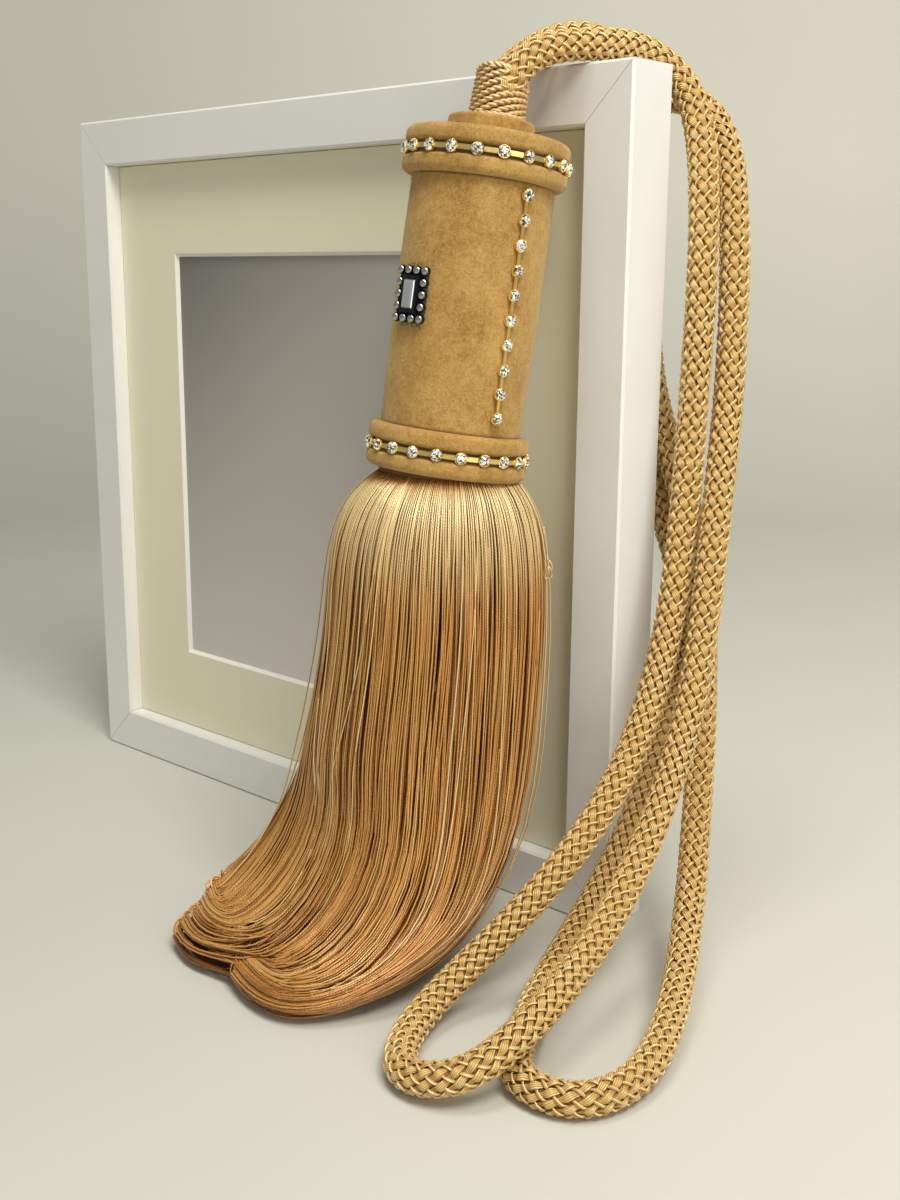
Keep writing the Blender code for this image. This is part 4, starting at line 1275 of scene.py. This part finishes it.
def loopPaths():
    # every loop takes two places of its layer: a fold's loops lie one in the other, or go under the bundle
    loops = []
    within = skirt["acrossParting"]
    for layer, (ring, places) in enumerate(skirt["layers"]):
        gap = math.tau / places
        upper = places // 2
        for first in range(0, upper, skirt["fold"]):
            angles = [(k + 0.5) * gap for k in range(first, min(first + skirt["fold"], upper))]
            tucked = rng.uniform() < skirt["under"]
            for near, far in zip(angles[:len(angles) // 2], angles[::-1]):
                # how far each of the two is from the parting
                sides = np.cos([near, far]) - skirt["parting"] + (1 - ring) * skirt["partingSlant"]
                if tucked or min(sides) < within and max(sides) > -within:
                    loops += [(near, -near, ring, gap, layer, 1), (far, -far, ring, gap, layer, 1)]
                else:
                    loops += [(near, far, ring, gap, layer, 0), (-near, -far, ring, gap, layer, 0)]
    firstAngle, secondAngle, rings, gaps, layers, under = np.array(loops).T
    under = under > 0
    count = len(loops)
    firstAngle = firstAngle + rng.normal(0, skirt["placing"], count) * gaps
    secondAngle = secondAngle + rng.normal(0, skirt["placing"], count) * gaps
    hanks = skirt["hanks"]
    centres = (np.arange(hanks) + rng.uniform(-0.35, 0.35, hanks)) / hanks * math.tau
    hankShort = rng.uniform(0, skirt["hankUneven"], hanks)
    near = np.abs(halfTurn(firstAngle[:, None] - centres[None])).argmin(axis=1)
    drop = np.where(under, np.abs(np.sin(firstAngle)) * rings * skirt["dropUnder"], skirt["drop"])
    drop = drop + hankShort[near] + rng.uniform(0, skirt["uneven"], count)
    first, outFirst = threadLegs(rings, firstAngle, drop, centres)
    second, outSecond = threadLegs(rings, secondAngle, drop, centres)
    bow, outBow = doubledEnds(first, second, outFirst, outSecond, under)
    paths = np.concatenate([first, bow, second[:, ::-1]], axis=1)
    return paths, np.concatenate([outFirst, outBow, outSecond[:, ::-1]], axis=1), layers


def strayPaths(count):
    # single threads that lie across the others, and the first few hang free at the sides
    share = np.linspace(0, 1, skirt["samples"])[None, :]
    angle = rng.uniform(*np.radians(skirt["strayAngles"]), count)
    slope = rng.normal(0, skirt["straySlope"], count)
    free = np.zeros(count)
    for i, (degrees, proud) in enumerate(skirt["freeThreads"]):
        angle[i] = math.radians(degrees)
        slope[i] = 0.0
        free[i] = proud
    rings = rng.uniform(*skirt["strayRings"], count)[:, None] + skirt["strayBow"] * np.sin(share * math.pi)
    rings = rings + free[:, None] * np.sin(share ** 1.25 * math.pi)
    angles = angle[:, None] + slope[:, None] * smooth(0.05, 0.8, share)
    angles = angles + wander(count, share, 0.012, (5.0, 9.0))
    drop = rng.uniform(*skirt["strayDrop"], count)
    points, outward = flow(*turnedAside(rings, angles, share, drop))
    return settled(points), outward


def knotPath():
    # a snagged thread curled up at the side of the skirt
    turn = np.linspace(0, 1, skirt["knotSamples"])
    every = np.ones((1, len(turn)))
    reach = skirt["knotFrom"] + skirt["knotReach"] * np.sqrt(turn) * every
    middle, outward = flow(skirt["knotRing"] * every, math.radians(skirt["knotAngle"]) * every, reach)
    held = skirt["knotHeld"]
    middle = middle + smooth(0.25, 0.5, turn)[None, :, None] * (middle[:, held:held + 1] - middle)
    size = skirt["knotSize"] * smooth(0.2, 0.4, turn) * (1 - 0.35 * turn)
    curl = np.stack([np.sin(turn * 26.0), np.sin(turn * 19.0 + 1.0), 1.5 * np.cos(turn * 23.0)], axis=1)
    return middle + (curl * size[:, None])[None], outward


def threadFinish(name, dark, mid, pale):
    # a twisted thread with a silk shine, painted shade in its twist and towards its neighbours, and a painted
    # highlight on the shoulder
    thread = Finish(name, Roughness=0.28, Specular_IOR_Level=0.7, IOR=1.6, Metallic=skirt["gloss"])
    tone = thread.attribute("tone")
    along = thread.attribute("along")
    across = thread.attribute("across")
    grain = thread.noise(1500.0, 2.0, 0.7)
    twist = thread.wave(along * (math.tau / skirt["twist"]) + across * 2.0 + tone * 90.0) * 0.5 + 0.5
    colour = thread.ramp(tone, [(0.0, dark), (0.5, mid), (1.0, pale)])
    colour = thread.mix((grain - 0.5) * 1.5 + 0.05, colour, pale)
    # painted highlight on the shoulder: paler towards the highlight colour
    colour = thread.mix(thread.attribute("bleached") * skirt["paintedHighlightStrength"], colour, skirt["paintedHighlight"])
    # painted shade: in the twist's grooves, and in the gap between one thread and the next
    sunk = (1 - twist) * 0.38 + (0.66 - thread.attribute("facing")) * 1.05
    thread.wear("Base_Color", thread.mix(sunk, colour, dark))
    thread.wear("Normal", thread.bump(twist, 0.05 * mm, 0.8))
    return thread.material


def threadPiece(name, paths, outward, halves, sides, tone, finish):
    side, rise = sectionFrames(paths, np.cross(outward, unit(np.gradient(paths, axis=1))))
    travel = travelAlong(paths)
    # threads are pressed thin where they leave the collar
    rootEnd = np.minimum(travel, travel[:, -1:] - travel)
    thin = skirt["rootThin"]
    half = halves[:, None] * (thin + (1 - thin) * smooth(0, skirt["thinTo"], rootEnd))
    # the first corner is the one nearest the middle of the bundle
    turns = np.arange(sides) * math.tau / sides - math.pi / 2
    outline = np.stack([np.cos(turns), np.sin(turns)], axis=1)
    some = sweep(paths, side, rise, outline, half, half)
    # the painted shade between threads is weaker on the loops at the tips, where nothing shades them
    fromTip = np.abs(travel - travel[:, travel.shape[1] // 2][:, None])
    bare = skirt["bareness"] * (1 - smooth(*skirt["bareTip"], fromTip))
    # painted highlight: the shoulder of the skirt is paler
    bleached = smooth(*skirt["highlightIn"], rootEnd) * (1 - smooth(*skirt["highlightOut"], rootEnd))
    values = {"bleached": bleached[..., None], "along": travel[..., None], "across": turns,
              "facing": outline[:, 1] + (1 - outline[:, 1]) * bare[..., None], "tone": tone[:, None, None]}
    values = {key: np.broadcast_to(value, some.shape[:3]) for key, value in values.items()}
    return piece(name, some, gridFaces(*some.shape[:3]), finish, "skirt_thread", values)


def makeSkirt():
    paths, outward, layers = loopPaths()
    count = len(paths)
    # painted shade: darker for each layer inward
    tone = rng.normal(skirt["tone"], skirt["toneSpread"], count) - layers * skirt["layerShade"]
    tone = np.clip(tone, 0, 1)
    halves = skirt["half"] * rng.uniform(*skirt["halfVaries"], count)
    thread = threadFinish("skirtThread", skirt["dark"], skirt["mid"], skirt["pale"])
    outer = layers < skirt["outerLayers"]
    even = np.arange(count) % 2 == 0
    made = []
    for letter, some, sides in (("A", outer & even, 4), ("B", outer & ~even, 4), ("C", ~outer, 3)):
        made.append(threadPiece("skirtThreads" + letter, paths[some], outward[some], halves[some], sides,
                                tone[some], thread))
    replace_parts(made[0], "skirt")
    strays, outward = strayPaths(skirt["strays"])
    bright = threadFinish("strayThread", *skirt["strayShades"])
    halves = rng.uniform(*skirt["strayHalf"], len(strays)) * mm
    tone = rng.uniform(*skirt["strayTones"], len(strays))
    threadPiece("skirtStrays", strays, outward, halves, 4, tone, bright)
    knot, outward = knotPath()
    half = np.array([skirt["knotHalf"]])
    threadPiece("skirtKnot", knot, outward, half, 5, np.array([skirt["knotTone"]]), bright)

    # a band of backing tape under the collar, where the threads are sewn, painted dark brown as the collar's
    # shadow
    shade = Finish("skirtTapeShadow", Base_Color=skirt["tapeShadowColour"], Roughness=0.95)
    points, faces = lathe([(radius * mm, height * mm) for radius, height in skirt["tape"]], 64)
    piece("skirtTapeShadow", carried(points, headPlace), faces, shade.material, "skirt_thread", sharpAngle=50)


makeSkirt()
print("skirt threaded")
